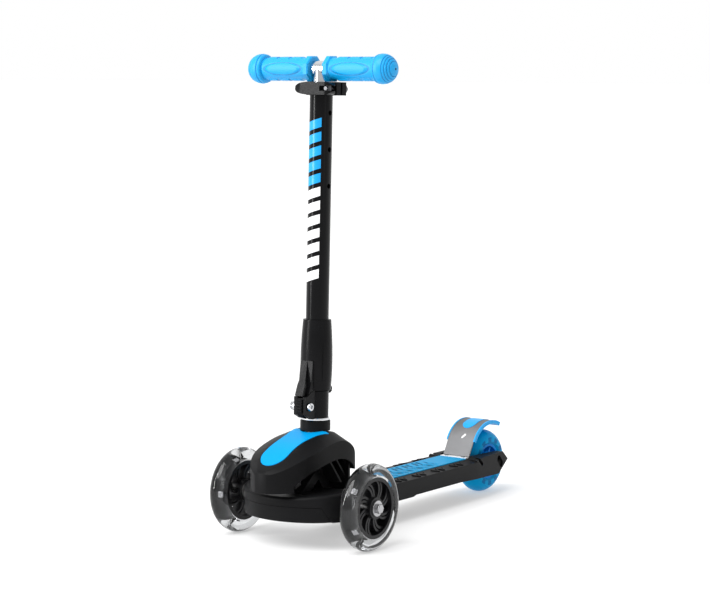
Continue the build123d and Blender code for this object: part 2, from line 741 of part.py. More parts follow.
with BuildPart() as hinge_cover:
    with BuildSketch(COLUMN_SECTION):
        with BuildLine():
            Spline(
                (SLEEVE_LOW_R, SLEEVE_FOOT),
                (SLEEVE_MID_R, SLEEVE_FOOT + 0.4 * SLEEVE_H),
                (SLEEVE_MID_R - 0.6, SLEEVE_FOOT + 0.68 * SLEEVE_H),
                (SLEEVE_TOP_R, SLEEVE_FOOT + SLEEVE_H),
            )
            Polyline(
                (SLEEVE_TOP_R, SLEEVE_FOOT + SLEEVE_H),
                (TUBE_R, SLEEVE_FOOT + SLEEVE_H),
                (TUBE_R, SLEEVE_FOOT),
                (SLEEVE_LOW_R, SLEEVE_FOOT),
            )
        make_face()
    revolve(axis=Axis(COLUMN_FOOT, COLUMN_AXIS))
    add(cheeks)
    add(fin.part)
    with BuildSketch(COLUMN_SIDE):
        Polygon(
            (-SLOPE_END, FIN_FOOT),
            (-SLOPE_START, SLEEVE_FOOT),
            (0, SLEEVE_FOOT),
            (0, FIN_FOOT),
            align=None,
        )
    extrude(amount=CHEEK_HALF, both=True, mode=Mode.SUBTRACT)
    with Locations(COLUMN.offset(SLEEVE_FOOT + GROOVE_START)):
        for turn in (-GROOVE_TURN, 180 + GROOVE_TURN):
            with Locations(Location((*polar(SLEEVE_MID_R, turn), 0), (0, 0, turn))):
                Box(2 * GROOVE_DEPTH, GROOVE_W, GROOVE_H, align=RISE, mode=Mode.SUBTRACT)
    with Locations(COLUMN):
        Cylinder(TUBE_R, 2 * TUBE_LENGTH, align=RISE, mode=Mode.SUBTRACT)
        with Locations((0, 0, HINGE_S)):
            Cylinder(CAST_R, CAST_H, align=RISE, mode=Mode.SUBTRACT)
    with BuildSketch(COLUMN_SIDE):
        with Locations((PIN_BACK, HINGE_S)):
            Circle(KNUCKLE_R + 2 * SIDE_GAP)
        Polygon(
            (PIN_BACK + KNUCKLE_R, HINGE_S),
            (PIN_BACK + KNUCKLE_R, HINGE_S + CAST_H),
            (0, HINGE_S + CAST_H),
            (0, HINGE_S),
            align=None,
        )
    extrude(amount=KNUCKLE_OUT + SIDE_GAP, both=True, mode=Mode.SUBTRACT)
hinge_cover.part.label = "hinge_cover"
export_step(hinge_cover.part, "parts/hinge_cover.step")

# Release trigger between the block's ears, its bolt, nut and spring
TRIGGER_HALF = SLOT_HALF - SIDE_GAP
TRIGGER_BACK = 22.0
TRIGGER_REACH = 37.5
TRIGGER_LOW = 21.0
TRIGGER_TOP = EAR_TOP - 2.0
RIDGES = 5
RIDGE_R = 1.2
RIDGE_PITCH = 3.8
LATCH_HEAD_R = 6.0
LATCH_HEAD_H = 4.0
LATCH_NUT_R = 8.0
LATCH_NUT_H = 9.0
SPRING_R = 5.0
SPRING_W = 4.0

with BuildPart() as fold_trigger:
    with BuildSketch(COLUMN_SIDE):
        Polygon(
            (-TRIGGER_BACK, TRIGGER_LOW),
            (-TRIGGER_BACK, TRIGGER_TOP - 4),
            (-LATCH_FRONT, TRIGGER_TOP),
            (-TRIGGER_REACH + 2, TRIGGER_TOP),
            (-TRIGGER_REACH, TRIGGER_TOP - 4),
            (-TRIGGER_REACH, TRIGGER_LOW + 6),
            (-EAR_REACH + 2, TRIGGER_LOW),
            align=None,
        )
        with Locations((-LATCH_FRONT, LATCH_S)):
            Circle(LATCH_R + RUN_FIT, mode=Mode.SUBTRACT)
        for ridge in range(RIDGES):
            with Locations((-TRIGGER_REACH, TRIGGER_LOW + 8 + RIDGE_PITCH * ridge)):
                Circle(RIDGE_R)
    extrude(amount=TRIGGER_HALF, both=True)
    with BuildSketch(COLUMN_SIDE.offset(-TRIGGER_HALF)):
        with Locations((-LATCH_FRONT, LATCH_S)):
            Circle(SPRING_R + SIDE_GAP)
    extrude(amount=SPRING_W + SIDE_GAP, mode=Mode.SUBTRACT)
fold_trigger.part.label = "fold_trigger"
export_step(fold_trigger.part, "parts/fold_trigger.step")

with BuildPart() as latch_bolt:
    with BuildSketch(COLUMN_SIDE.offset(EAR_HALF + LATCH_HEAD_H)):
        with Locations((-LATCH_FRONT, LATCH_S)):
            Circle(LATCH_HEAD_R)
    extrude(amount=-LATCH_HEAD_H)
    fillet(latch_bolt.faces().sort_by(Axis.X)[-1].edges(), LATCH_HEAD_H / 2)
    with BuildSketch(COLUMN_SIDE.offset(EAR_HALF)):
        with Locations((-LATCH_FRONT, LATCH_S)):
            Circle(LATCH_R)
    extrude(amount=-2 * EAR_HALF - LATCH_NUT_H - 1)
    with BuildSketch(COLUMN_SIDE.offset(EAR_HALF + LATCH_HEAD_H)):
        with Locations((-LATCH_FRONT, LATCH_S)):
            RegularPolygon(LATCH_R, 6)
    extrude(amount=-LATCH_HEAD_H * 0.7, mode=Mode.SUBTRACT)
latch_bolt.part.label = "latch_bolt"
export_step(latch_bolt.part, "parts/latch_bolt.step")

with BuildPart() as latch_nut:
    with BuildSketch(COLUMN_SIDE.offset(-EAR_HALF)):
        with Locations((-LATCH_FRONT, LATCH_S)):
            Circle(LATCH_NUT_R)
            Circle(LATCH_R, mode=Mode.SUBTRACT)
    extrude(amount=-LATCH_NUT_H / 4)
    with BuildSketch(COLUMN_SIDE.offset(-EAR_HALF)):
        with Locations((-LATCH_FRONT, LATCH_S)):
            RegularPolygon(LATCH_NUT_R - 1.6, 6)
            Circle(LATCH_R, mode=Mode.SUBTRACT)
    extrude(amount=-LATCH_NUT_H)
latch_nut.part.label = "latch_nut"
export_step(latch_nut.part, "parts/latch_nut.step")

with BuildPart() as trigger_spring:
    with BuildSketch(COLUMN_SIDE.offset(-TRIGGER_HALF)):
        with Locations((-LATCH_FRONT, LATCH_S)):
            Circle(SPRING_R)
            Circle(LATCH_R + SIDE_GAP, mode=Mode.SUBTRACT)
    extrude(amount=SPRING_W)
trigger_spring.part.label = "trigger_spring"
export_step(trigger_spring.part, "parts/trigger_spring.step")

# Column tube with its row of height holes, and the bush at its mouth
TUBE_FOOT = HINGE_S + CAST_H
TUBE_TOP = TUBE_FOOT + TUBE_LENGTH
TUBE_BORE = TUBE_R - TUBE_WALL
BUSH_LENGTH = 34.0

with BuildPart(COLUMN) as column_tube:
    with Locations((0, 0, TUBE_FOOT)):
        Cylinder(TUBE_R, TUBE_LENGTH, align=RISE)
        Cylinder(TUBE_BORE, TUBE_LENGTH, align=RISE, mode=Mode.SUBTRACT)
    with BuildSketch(COLUMN_SIDE):
        for hole in range(HOLES):
            with Locations((0, TUBE_TOP - TOP_HOLE_DEPTH - hole * HOLE_PITCH)):
                Circle(HOLE_R)
    extrude(amount=2 * TUBE_R, mode=Mode.SUBTRACT)
column_tube.part.label = "column_tube"
export_step(column_tube.part, "parts/column_tube.step")

with BuildPart(COLUMN.offset(TUBE_TOP)) as column_bush:
    Cylinder(TUBE_BORE, BUSH_LENGTH, align=SINK)
    Cylinder(BAR_STEM_R + RUN_FIT, BUSH_LENGTH, align=SINK, mode=Mode.SUBTRACT)
column_bush.part.label = "column_bush"
export_step(column_bush.part, "parts/column_bush.step")

# Height clamp: split collar, bolt, barrel pin, nut and cam lever
CLAMP_R = 21.0
CLAMP_H = 18.0
CLAMP_FOOT = TUBE_TOP - CLAMP_H
CLAMP_MID = TUBE_TOP - CLAMP_H / 2
EAR_X = 27.0
EAR_Y = 11.0
EAR_END = 34.0
SPLIT = 4.0
CLAMP_BOLT_R = 3.0
CAM_Y = -21.0
CAM_R = -CAM_Y - EAR_Y - SIDE_GAP
CAM_PIN_R = 4.5
LEVER_H = 17.5
LEVER_TIP = -25.0
FORK_H = 6.8
FORK_R = 12.5
BOLT_TIP = CAM_PIN_R + 2 - CAM_Y

with BuildPart() as clamp_collar:
    with BuildSketch(COLUMN.offset(CLAMP_FOOT)):
        Circle(CLAMP_R)
        with Locations((EAR_END / 2, 0)):
            Rectangle(EAR_END, 2 * EAR_Y)
        Circle(TUBE_R, mode=Mode.SUBTRACT)
        with Locations((EAR_END / 2, 0)):
            Rectangle(EAR_END, SPLIT, mode=Mode.SUBTRACT)
    extrude(amount=CLAMP_H)
    with BuildSketch(COLUMN_SECTION):
        with Locations((EAR_X, CLAMP_MID)):
            Circle(CLAMP_BOLT_R)
    extrude(amount=2 * EAR_Y, both=True, mode=Mode.SUBTRACT)
    fillet(clamp_collar.edges().filter_by(lambda edge: edge.length > 4 * SPLIT).group_by(Axis.Z)[-1], 0.8)
clamp_collar.part.label = "clamp_collar"
export_step(clamp_collar.part, "parts/clamp_collar.step")

with BuildPart() as clamp_barrel:
    with Locations(COLUMN.offset(CLAMP_MID)):
        with Locations((EAR_X, CAM_Y, 0)):
            Cylinder(CAM_PIN_R, LEVER_H)
    with BuildSketch(COLUMN_SECTION):
        with Locations((EAR_X, CLAMP_MID)):
            Circle(CLAMP_BOLT_R)
    extrude(amount=-2 * CAM_Y, both=True, mode=Mode.SUBTRACT)
clamp_barrel.part.label = "clamp_barrel"
export_step(clamp_barrel.part, "parts/clamp_barrel.step")

with BuildPart() as clamp_bolt:
    with BuildSketch(COLUMN_SECTION.offset(BOLT_TIP)):
        with Locations((EAR_X, CLAMP_MID)):
            Circle(CLAMP_BOLT_R)
    extrude(amount=-BOLT_TIP - EAR_Y - 8)
clamp_bolt.part.label = "clamp_bolt"
export_step(clamp_bolt.part, "parts/clamp_bolt.step")

with BuildPart() as clamp_nut:
    with BuildSketch(COLUMN_SECTION.offset(-EAR_Y)):
        with Locations((EAR_X, CLAMP_MID)):
            RegularPolygon(2 * CLAMP_BOLT_R, 6)
            Circle(CLAMP_BOLT_R, mode=Mode.SUBTRACT)
    extrude(amount=-2 * CLAMP_BOLT_R)
clamp_nut.part.label = "clamp_nut"
export_step(clamp_nut.part, "parts/clamp_nut.step")

with BuildPart() as clamp_lever:
    with BuildSketch(COLUMN.offset(CLAMP_MID)):
        with Locations((EAR_X, CAM_Y)):
            Circle(CAM_R)
        with BuildLine():
            Polyline((EAR_X, CAM_Y - CAM_R), (LEVER_TIP + 8, CAM_Y - CAM_R + 0.5), (LEVER_TIP, CAM_Y - 6))
            Polyline((LEVER_TIP, CAM_Y - 6), (LEVER_TIP + 7, -CLAMP_R - 2), (EAR_X - CAM_R, -CLAMP_R - 2))
            Polyline((EAR_X - CAM_R, -CLAMP_R - 2), (EAR_X, CAM_Y), (EAR_X, CAM_Y - CAM_R))
        make_face()
        with Locations((EAR_X, CAM_Y)):
            Circle(CAM_PIN_R + RUN_FIT, mode=Mode.SUBTRACT)
    extrude(amount=LEVER_H / 2, both=True)
    with BuildSketch(COLUMN_SECTION):
        with Locations((0, CLAMP_MID)):
            Ellipse(1 - LEVER_TIP, LEVER_H / 2)
        with Locations((EAR_X / 2, CLAMP_MID)):
            Rectangle(EAR_X, LEVER_H)
        with Locations((EAR_X, CLAMP_MID)):
            Ellipse(CAM_R + 1, LEVER_H / 2)
    extrude(amount=2 * CLAMP_R, mode=Mode.INTERSECT)
    with Locations(COLUMN.offset(CLAMP_MID)):
        with Locations((EAR_X, CAM_Y, 0)):
            Cylinder(FORK_R, FORK_H, mode=Mode.SUBTRACT)
clamp_lever.part.label = "clamp_lever"
export_step(clamp_lever.part, "parts/clamp_lever.step")

# Handlebar: sliding stem, crossbar, grips and the spring button
CROSSBAR_S = TUBE_TOP + CROSSBAR_RISE
BAR_STEM_LENGTH = CROSSBAR_RISE + BAR_TRAVEL + BAR_HOLD
STEM_FOOT = CROSSBAR_S - BAR_STEM_LENGTH
GUIDE_H = 16.0
BUTTON_R = 3.4
BUTTON_S = TUBE_TOP - TOP_HOLE_DEPTH - HOLES * HOLE_PITCH
BUTTON_TIP = TUBE_BORE - 2 * LAID_GAP
STEM_BORE = BAR_STEM_R - BAR_WALL
CROSSBAR_HALF = BULB_X + 12.0
BAR = Plane(origin=COLUMN.from_local_coords((0, 0, CROSSBAR_S)), x_dir=(0, 1, 0), z_dir=X_AXIS)

with BuildPart() as handlebar_crossbar:
    with Locations(BAR):
        Cylinder(CROSSBAR_R, 2 * CROSSBAR_HALF)
        Cylinder(CROSSBAR_R - BAR_WALL, 2 * CROSSBAR_HALF, mode=Mode.SUBTRACT)
handlebar_crossbar.part.label = "handlebar_crossbar"
export_step(handlebar_crossbar.part, "parts/handlebar_crossbar.step")

with BuildPart() as handlebar_stem:
    with Locations(COLUMN.offset(STEM_FOOT)):
        Cylinder(BAR_STEM_R, BAR_STEM_LENGTH, align=RISE)
        Cylinder(STEM_BORE, BAR_STEM_LENGTH, align=RISE, mode=Mode.SUBTRACT)
    with Locations(BAR):
        Cylinder(CROSSBAR_R, 4 * BAR_STEM_R, mode=Mode.SUBTRACT)
    with BuildSketch(COLUMN_SIDE):
        with Locations((0, BUTTON_S)):
            Circle(BUTTON_R + RUN_FIT)
    extrude(amount=2 * BAR_STEM_R, mode=Mode.SUBTRACT)
handlebar_stem.part.label = "handlebar_stem"
export_step(handlebar_stem.part, "parts/handlebar_stem.step")

with BuildPart(COLUMN.offset(STEM_FOOT)) as stem_guide:
    Cylinder(TUBE_BORE - RUN_FIT, GUIDE_H, align=RISE)
    Cylinder(BAR_STEM_R, GUIDE_H, align=RISE, mode=Mode.SUBTRACT)
stem_guide.part.label = "stem_guide"
export_step(stem_guide.part, "parts/stem_guide.step")

with BuildPart() as height_button:
    with BuildSketch(COLUMN_SIDE.offset(STEM_BORE - 3)):
        with Locations((0, BUTTON_S)):
            Circle(BUTTON_R)
    extrude(amount=BUTTON_TIP - STEM_BORE + 3)
    fillet(height_button.faces().sort_by(Axis.X)[-1].edges(), 1)
height_button.part.label = "height_button"
export_step(height_button.part, "parts/height_button.step")

with BuildPart() as button_spring:
    with BuildSketch(COLUMN_SECTION):
        with BuildLine():
            FilletPolyline(
                (STEM_BORE - 4, BUTTON_S + 5),
                (STEM_BORE - 4, BUTTON_S - 10),
                (3 - STEM_BORE, BUTTON_S - 24),
                (3 - STEM_BORE, BUTTON_S + 2),
                radius=3,
            )
        trace(line_width=1.0)
    extrude(amount=BUTTON_R, both=True)
button_spring.part.label = "button_spring"
export_step(button_spring.part, "parts/button_spring.step")

for side, name in ((1, "left"), (-1, "right")):
    end = BAR.origin
    section = Plane(origin=end, x_dir=(side, 0, 0), z_dir=(0, -side, 0))
    flange = Plane(origin=end + Vector(side * GRIP_START, 0, 0), x_dir=(0, 1, 0), z_dir=(side, 0, 0))
    bulb_start = BULB_X - (BULB_R**2 - GRIP_R**2) ** 0.5
    with BuildPart() as grip:
        with BuildSketch(section):
            with BuildLine():
                Polyline(
                    (BULB_X + BULB_R, 0),
                    (CROSSBAR_HALF + LAID_GAP, 0),
                    (CROSSBAR_HALF + LAID_GAP, CROSSBAR_R),
                    (GRIP_START, CROSSBAR_R),
                    (GRIP_START, GRIP_R),
                    (bulb_start, GRIP_R),
                )
                RadiusArc((bulb_start, GRIP_R), (BULB_X + BULB_R, 0), BULB_R)
            make_face()
        revolve(axis=Axis(end, X_AXIS))
        with BuildSketch(flange):
            RegularPolygon(FLANGE_R, 8, rotation=22.5, major_radius=False)
            Circle(CROSSBAR_R, mode=Mode.SUBTRACT)
        extrude(amount=FLANGE_W)
    grip.part.label = f"{name}_grip"
    export_step(grip.part, f"parts/{name}_grip.step")

# Place and size of the brake's foot and its screws, which the deck is drilled for
BRAKE_ROOT = 383.0
FOOT_LENGTH = 8.7
BRAKE_SCREW_R = 2.0
BRAKE_SCREW_DEPTH = 6.0
BRAKE_SCREW_HEAD_R = 3.2
BRAKE_SCREW_HEAD_H = 1.2
BRAKE_SCREW_X = 15.0
BRAKE_SCREWS = tuple((side * BRAKE_SCREW_X, BRAKE_ROOT - FOOT_LENGTH / 2) for side in (1, -1))

# Deck: moulded board with ribs below, raised fork arms and a window for the rear wheel
DECK_START = 50.0
MAT_START = 58.0
RAMP = 374.0
RAMP_RUN = 10.0
BELLY_END = 330.0
FORK_TOP = 66.5
FORK_RIM = 64.4
FORK_LOW = 31.8
FORK_BACK = 6.5
FORK_HEEL = 6.4
FORK_REACH = 23.0
FORK_TIP = 51.0
FORK_HALF = 38.0
FORK_TAPER = (DECK_HALF - FORK_HALF) / (WHEELBASE - RAMP)
FOOT_STEP = 209.0
FOOT_RISE = 1.9
STRIP_DROP = 2.6
DECK_WALL = 5.0
RIBS = 5
DECK_RIB_T = 3.0
DECK_RIB_H = 14.0
WHEEL_WINDOW = REAR_TYRE_W / 2 + FORK_GAP
WINDOW_START = WHEELBASE - REAR_R - 1.5 * FORK_GAP
HOLLOW = WINDOW_START - DECK_START - 3 * DECK_WALL
ARM_INSIDE = BRAKE_HALF + 2.8
RECESS_FLOOR = 31.5
RECESS_LENGTH = 22.0
RECESS_W = 10.8
RECESS_TURN = -48.0
RECESS_SHIFT = 3.2
REAR_HEAD_R = 5.2
REAR_HEAD_T = 4.0
REAR_THREAD_R = 2.6
SLIT_PLACE = 385.4
SLIT_Z = 59.0
SLIT_LENGTH = 19.0
SLIT_W = 5.0
SLIT_TURN = -41.0
SLIT_FLOOR = 37.5

with BuildPart() as deck:
    with BuildSketch(SIDE):
        Polygon(
            (DECK_START, DECK_TOP),
            (RAMP, DECK_TOP),
            (RAMP + RAMP_RUN, FORK_TOP),
            (WHEELBASE + FORK_BACK, FORK_RIM),
            (WHEELBASE + FORK_REACH, FORK_TIP),
            (WHEELBASE - FORK_HEEL, FORK_LOW),
            (BELLY_END, DECK_LOW + FOOT_RISE),
            (FOOT_STEP + 4, DECK_LOW + FOOT_RISE),
            (FOOT_STEP - 4, DECK_LOW),
            (DECK_START + 16, DECK_LOW),
            (DECK_START, DECK_LOW + 8),
            align=None,
        )
    extrude(amount=DECK_HALF, both=True)
    for start, end, top in ((DECK_START, RAMP, DECK_TOP), (RAMP, WHEELBASE, FORK_TOP)):
        with BuildSketch(Plane.XZ.offset(-FRONT_Y - start)):
            for side in (1, -1):
                Polygon(
                    (side * MAT_HALF * 1.1, top),
                    (side * DECK_HALF, top),
                    (side * DECK_HALF, top - STRIP_DROP),
                    align=None,
                )
        extrude(amount=start - end, mode=Mode.SUBTRACT)
    with BuildSketch(FLOOR):
        for side in (1, -1):
            Polygon(
                (side * DECK_HALF, RAMP),
                (side * DECK_HALF, WHEELBASE + REAR_R),
                (side * (FORK_HALF - FORK_TAPER * REAR_R), WHEELBASE + REAR_R),
                align=None,
            )
    extrude(amount=2 * REAR_R, mode=Mode.SUBTRACT)
    with Locations(FLOOR.offset(DECK_TOP)):
        with Locations((0, RAMP)):
            Box(2 * ARM_INSIDE, 4 * REAR_R, REAR_R, align=RISE_BACK, mode=Mode.SUBTRACT)
    with Locations(FLOOR):
        with Locations((0, WINDOW_START)):
            Box(2 * WHEEL_WINDOW, 4 * REAR_R, 4 * REAR_R, align=RISE_BACK, mode=Mode.SUBTRACT)
        with Locations((0, DECK_START + 2 * DECK_WALL)):
            Box(
                2 * (DECK_HALF - DECK_WALL),
                HOLLOW,
                DECK_TOP - DECK_SKIN,
                align=RISE_BACK,
                mode=Mode.SUBTRACT,
            )
            Box(
                2 * NECK_HALF,
                6 * DECK_WALL,
                DECK_TOP - DECK_SKIN,
                align=RISE,
                mode=Mode.SUBTRACT,
            )
    with Locations(FLOOR.offset(DECK_TOP - DECK_SKIN)):
        for rib in range(RIBS):
            with Locations((0, TAIL_END + DECK_WALL + rib * (WINDOW_START - TAIL_END) / RIBS)):
                Box(2 * DECK_HALF - DECK_WALL, DECK_RIB_T, DECK_RIB_H, align=SINK_BACK)
        for side in (1, -1):
            with Locations((side * (NECK_HALF + DECK_RIB_T / 2), DECK_START + 2 * DECK_WALL)):
                Box(DECK_RIB_T, HOLLOW, DECK_RIB_H, align=SINK_BACK)
    with Locations(FLOOR.offset(DECK_TOP - MAT_INSET)):
        with Locations((0, (MAT_START + RAMP) / 2)):
            Box(2 * MAT_HALF + 2 * LAID_GAP, RAMP - MAT_START, MAT_T, align=RISE, mode=Mode.SUBTRACT)
    for side in (1, -1):
        with BuildSketch(REAR_HUB.offset(side * RECESS_FLOOR)):
            with Locations(polar(-RECESS_SHIFT, RECESS_TURN)):
                SlotOverall(RECESS_LENGTH, RECESS_W, rotation=RECESS_TURN)
        extrude(amount=side * DECK_HALF, mode=Mode.SUBTRACT)
        with BuildSketch(REAR_HUB.offset(side * SLIT_FLOOR)):
            with Locations((SLIT_PLACE - WHEELBASE, SLIT_Z - REAR_R)):
                SlotOverall(SLIT_LENGTH, SLIT_W, rotation=SLIT_TURN)
        extrude(amount=side * DECK_HALF, mode=Mode.SUBTRACT)
    with Locations(REAR_HUB):
        Cylinder(AXLE_R, 4 * DECK_HALF, mode=Mode.SUBTRACT)
    with Locations(FLOOR.offset(DECK_TOP)):
        with Locations(*BRAKE_SCREWS):
            Cylinder(BRAKE_SCREW_R, BRAKE_SCREW_DEPTH, align=SINK, mode=Mode.SUBTRACT)
deck.part.label = "deck"
export_step(deck.part, "parts/deck.step")

with BuildPart() as deck_mat:
    with Locations(FLOOR.offset(DECK_TOP - MAT_INSET)):
        with Locations((0, (MAT_START + RAMP) / 2)):
            Box(2 * MAT_HALF, RAMP - MAT_START - 2 * LAID_GAP, MAT_T, align=RISE)
deck_mat.part.label = "deck_mat"
export_step(deck_mat.part, "parts/deck_mat.step")

# Screws that hold the neck's tail up against the board
NECK_SCREW_R = 3.0
NECK_SCREWS = (70.0, 96.0)

with BuildPart() as neck_screws:
    with Locations(FLOOR.offset(TAIL_LOW)):
        with Locations(*((0, place) for place in NECK_SCREWS)):
            Cylinder(2 * NECK_SCREW_R, NECK_SCREW_R, align=SINK)
neck_screws.part.label = "neck_screws"
export_step(neck_screws.part, "parts/neck_screws.step")

# Rear wheel: blue tyre, pegged core, bearings, axle, nut and spacers
PEGS = 12
PEG_R = 3.4
PEG_REACH = 34.0
REAR_HUB_W = REAR_TYRE_W - 1
REAR_BEARING_PLACE = (REAR_HUB_W - BEARING_W) / 2
REAR_SPOKES = 6

with BuildPart(REAR_HUB) as rear_wheel_core:
    Cylinder(REAR_CORE_R, REAR_HUB_W - 4)
    Cylinder(REAR_CORE_R - 4, REAR_HUB_W - 4, mode=Mode.SUBTRACT)
    Cylinder(HUB_R, REAR_HUB_W)
    with BuildSketch(REAR_HUB):
        with PolarLocations(0, REAR_SPOKES):
            with Locations((REAR_CORE_R / 2, 0)):
                Rectangle(REAR_CORE_R - 4, 4)
    extrude(amount=REAR_HUB_W / 3, both=True)
    with PolarLocations(0, PEGS):
        with Locations(Location((REAR_CORE_R - 1, 0, 0), (0, 90, 0))):
            Cylinder(PEG_R, PEG_REACH - REAR_CORE_R + 1, align=RISE)
    Cylinder(BEARING_R, REAR_HUB_W, mode=Mode.SUBTRACT)
rear_wheel_core.part.label = "rear_wheel_core"
export_step(rear_wheel_core.part, "parts/rear_wheel_core.step")

rear_ring = tyre_ring(REAR_HUB, REAR_CORE_R, REAR_R, REAR_TYRE_W, SHOULDER)
with BuildPart() as rear_wheel_tyre:
    add(rear_ring)
    add(rear_wheel_core.part, mode=Mode.SUBTRACT)
rear_wheel_tyre.part.label = "rear_wheel_tyre"
export_step(rear_wheel_tyre.part, "parts/rear_wheel_tyre.step")

with BuildPart(REAR_HUB) as rear_wheel_bearings:
    with Locations((0, 0, REAR_BEARING_PLACE), (0, 0, -REAR_BEARING_PLACE)):
        Cylinder(BEARING_R, BEARING_W)
        Cylinder(AXLE_R + RUN_FIT, BEARING_W, mode=Mode.SUBTRACT)
rear_wheel_bearings.part.label = "rear_wheel_bearings"
export_step(rear_wheel_bearings.part, "parts/rear_wheel_bearings.step")

with BuildPart(REAR_HUB) as rear_axle:
    with Locations((0, 0, RECESS_FLOOR)):
        Cylinder(AXLE_R, 2 * RECESS_FLOOR, align=SINK)
    with Locations((0, 0, -RECESS_FLOOR)):
        Cylinder(REAR_THREAD_R, REAR_HEAD_T + 1, align=SINK)
    with BuildSketch(REAR_HUB.offset(RECESS_FLOOR)):
        RegularPolygon(REAR_HEAD_R, 6)
    extrude(amount=REAR_HEAD_T)
rear_axle.part.label = "rear_axle"
export_step(rear_axle.part, "parts/rear_axle.step")

with BuildPart(REAR_HUB) as rear_axle_nut:
    with BuildSketch(REAR_HUB.offset(-RECESS_FLOOR)):
        RegularPolygon(REAR_HEAD_R, 6)
        Circle(REAR_THREAD_R, mode=Mode.SUBTRACT)
    extrude(amount=-REAR_HEAD_T)
rear_axle_nut.part.label = "rear_axle_nut"
export_step(rear_axle_nut.part, "parts/rear_axle_nut.step")

REAR_SPACER_W = WHEEL_WINDOW - REAR_HUB_W / 2 - SIDE_GAP

with BuildPart() as rear_spacers:
    for side in (1, -1):
        with Locations(REAR_HUB.offset(side * (WHEEL_WINDOW - REAR_SPACER_W / 2))):
            Cylinder(SPACER_R, REAR_SPACER_W)
            Cylinder(AXLE_R, REAR_SPACER_W, mode=Mode.SUBTRACT)
rear_spacers.part.label = "rear_spacers"
export_step(rear_spacers.part, "parts/rear_spacers.step")

# Rear brake: steel foot and spring plate with a moulded pad over its tip
BRAKE_RISE = 60.0
BRAKE_STRAIGHT = 25.2
BRAKE_BEND_R = 50.0
BRAKE_BEND = 40.0
BRAKE_CROWN_R = 56.0
BRAKE_CROWN = 47.0
PAD_T = 3.0
PAD_EDGE = 2.3
PAD_PROUD = 0.6
BRAKE_REACH = 84.0
TONGUE_HALF = 11.0
TONGUE_LENGTH = 56.5
BRAKE_HINGE_Z = DECK_TOP + BRAKE_T / 2
BRAKE_SLOT_X = 2.5
BRAKE_SLOT_UP = 7.0
BRAKE_SLOT_LENGTH = 5.6
BRAKE_SLOT_W = 3.6
BRAKE_SLOT_TURN = 51.0

# The brake's line: its start by the foot, its direction, and where it begins to bend
ALONG = Vector(*polar(1, BRAKE_RISE))
ACROSS = Vector(*polar(1, BRAKE_RISE + 90))
BRAKE_START = Vector(BRAKE_ROOT, BRAKE_HINGE_Z) + ALONG * (BRAKE_T / 2 + SIDE_GAP)
BEND_START = BRAKE_START + ALONG * BRAKE_STRAIGHT


def brake_band(low, high, skip):
    """Side outline of a strip along the brake's line, between two offsets from it."""
    root = BRAKE_START + ALONG * skip
    with BuildSketch(SIDE) as band:
        with BuildLine():
            inner = JernArc(BEND_START + ACROSS * low, ALONG, BRAKE_BEND_R + low, -BRAKE_BEND)
            inner_tip = JernArc(inner @ 1, inner % 1, BRAKE_CROWN_R + low, -BRAKE_CROWN)
            outer = JernArc(BEND_START + ACROSS * high, ALONG, BRAKE_BEND_R + high, -BRAKE_BEND)
            outer_tip = JernArc(outer @ 1, outer % 1, BRAKE_CROWN_R + high, -BRAKE_CROWN)
            Line(inner_tip @ 1, outer_tip @ 1)
            Polyline(outer @ 0, root + ACROSS * high, root + ACROSS * low, inner @ 0)
        make_face()
    return band.sketch


BRAKE_TIP = BRAKE_ROOT + BRAKE_REACH
TONGUE_FRONT = BRAKE_TIP - TONGUE_LENGTH

with BuildPart() as tongue_notch:
    with BuildSketch(FLOOR):
        with BuildLine():
            ThreePointArc(
                (-TONGUE_HALF, TONGUE_FRONT + TONGUE_HALF),
                (0, TONGUE_FRONT),
                (TONGUE_HALF, TONGUE_FRONT + TONGUE_HALF),
            )
            Polyline(
                (TONGUE_HALF, TONGUE_FRONT + TONGUE_HALF),
                (TONGUE_HALF, BRAKE_TIP + 4 * PAD_T),
                (-TONGUE_HALF, BRAKE_TIP + 4 * PAD_T),
                (-TONGUE_HALF, TONGUE_FRONT + TONGUE_HALF),
            )
        make_face()
    extrude(amount=4 * REAR_R)

SLOT_CENTRE = SIDE.from_local_coords(BEND_START + ALONG * BRAKE_SLOT_UP)
SLOT_FACE = Plane(origin=SLOT_CENTRE, x_dir=X_AXIS, z_dir=(0, ACROSS.X, ACROSS.Y))

with BuildPart() as brake_slot:
    with BuildSketch(SLOT_FACE):
        with Locations((BRAKE_SLOT_X, 0)):
            SlotCenterToCenter(BRAKE_SLOT_LENGTH, BRAKE_SLOT_W, rotation=BRAKE_SLOT_TURN)
    extrude(amount=3 * PAD_T, both=True)

with BuildPart() as brake_plate:
    add(brake_band(-BRAKE_T / 2, BRAKE_T / 2, 0))
    extrude(amount=BRAKE_HALF, both=True, dir=X_AXIS)
    add(tongue_notch.part, mode=Mode.SUBTRACT)
    add(brake_slot.part, mode=Mode.SUBTRACT)
brake_plate.part.label = "brake_plate"
export_step(brake_plate.part, "parts/brake_plate.step")

with BuildPart() as pad_tongue:
    add(brake_band(-BRAKE_T / 2, BRAKE_T / 2 + PAD_PROUD, BRAKE_STRAIGHT / 2))
    extrude(amount=BRAKE_HALF, both=True, dir=X_AXIS)
    add(tongue_notch.part, mode=Mode.INTERSECT)

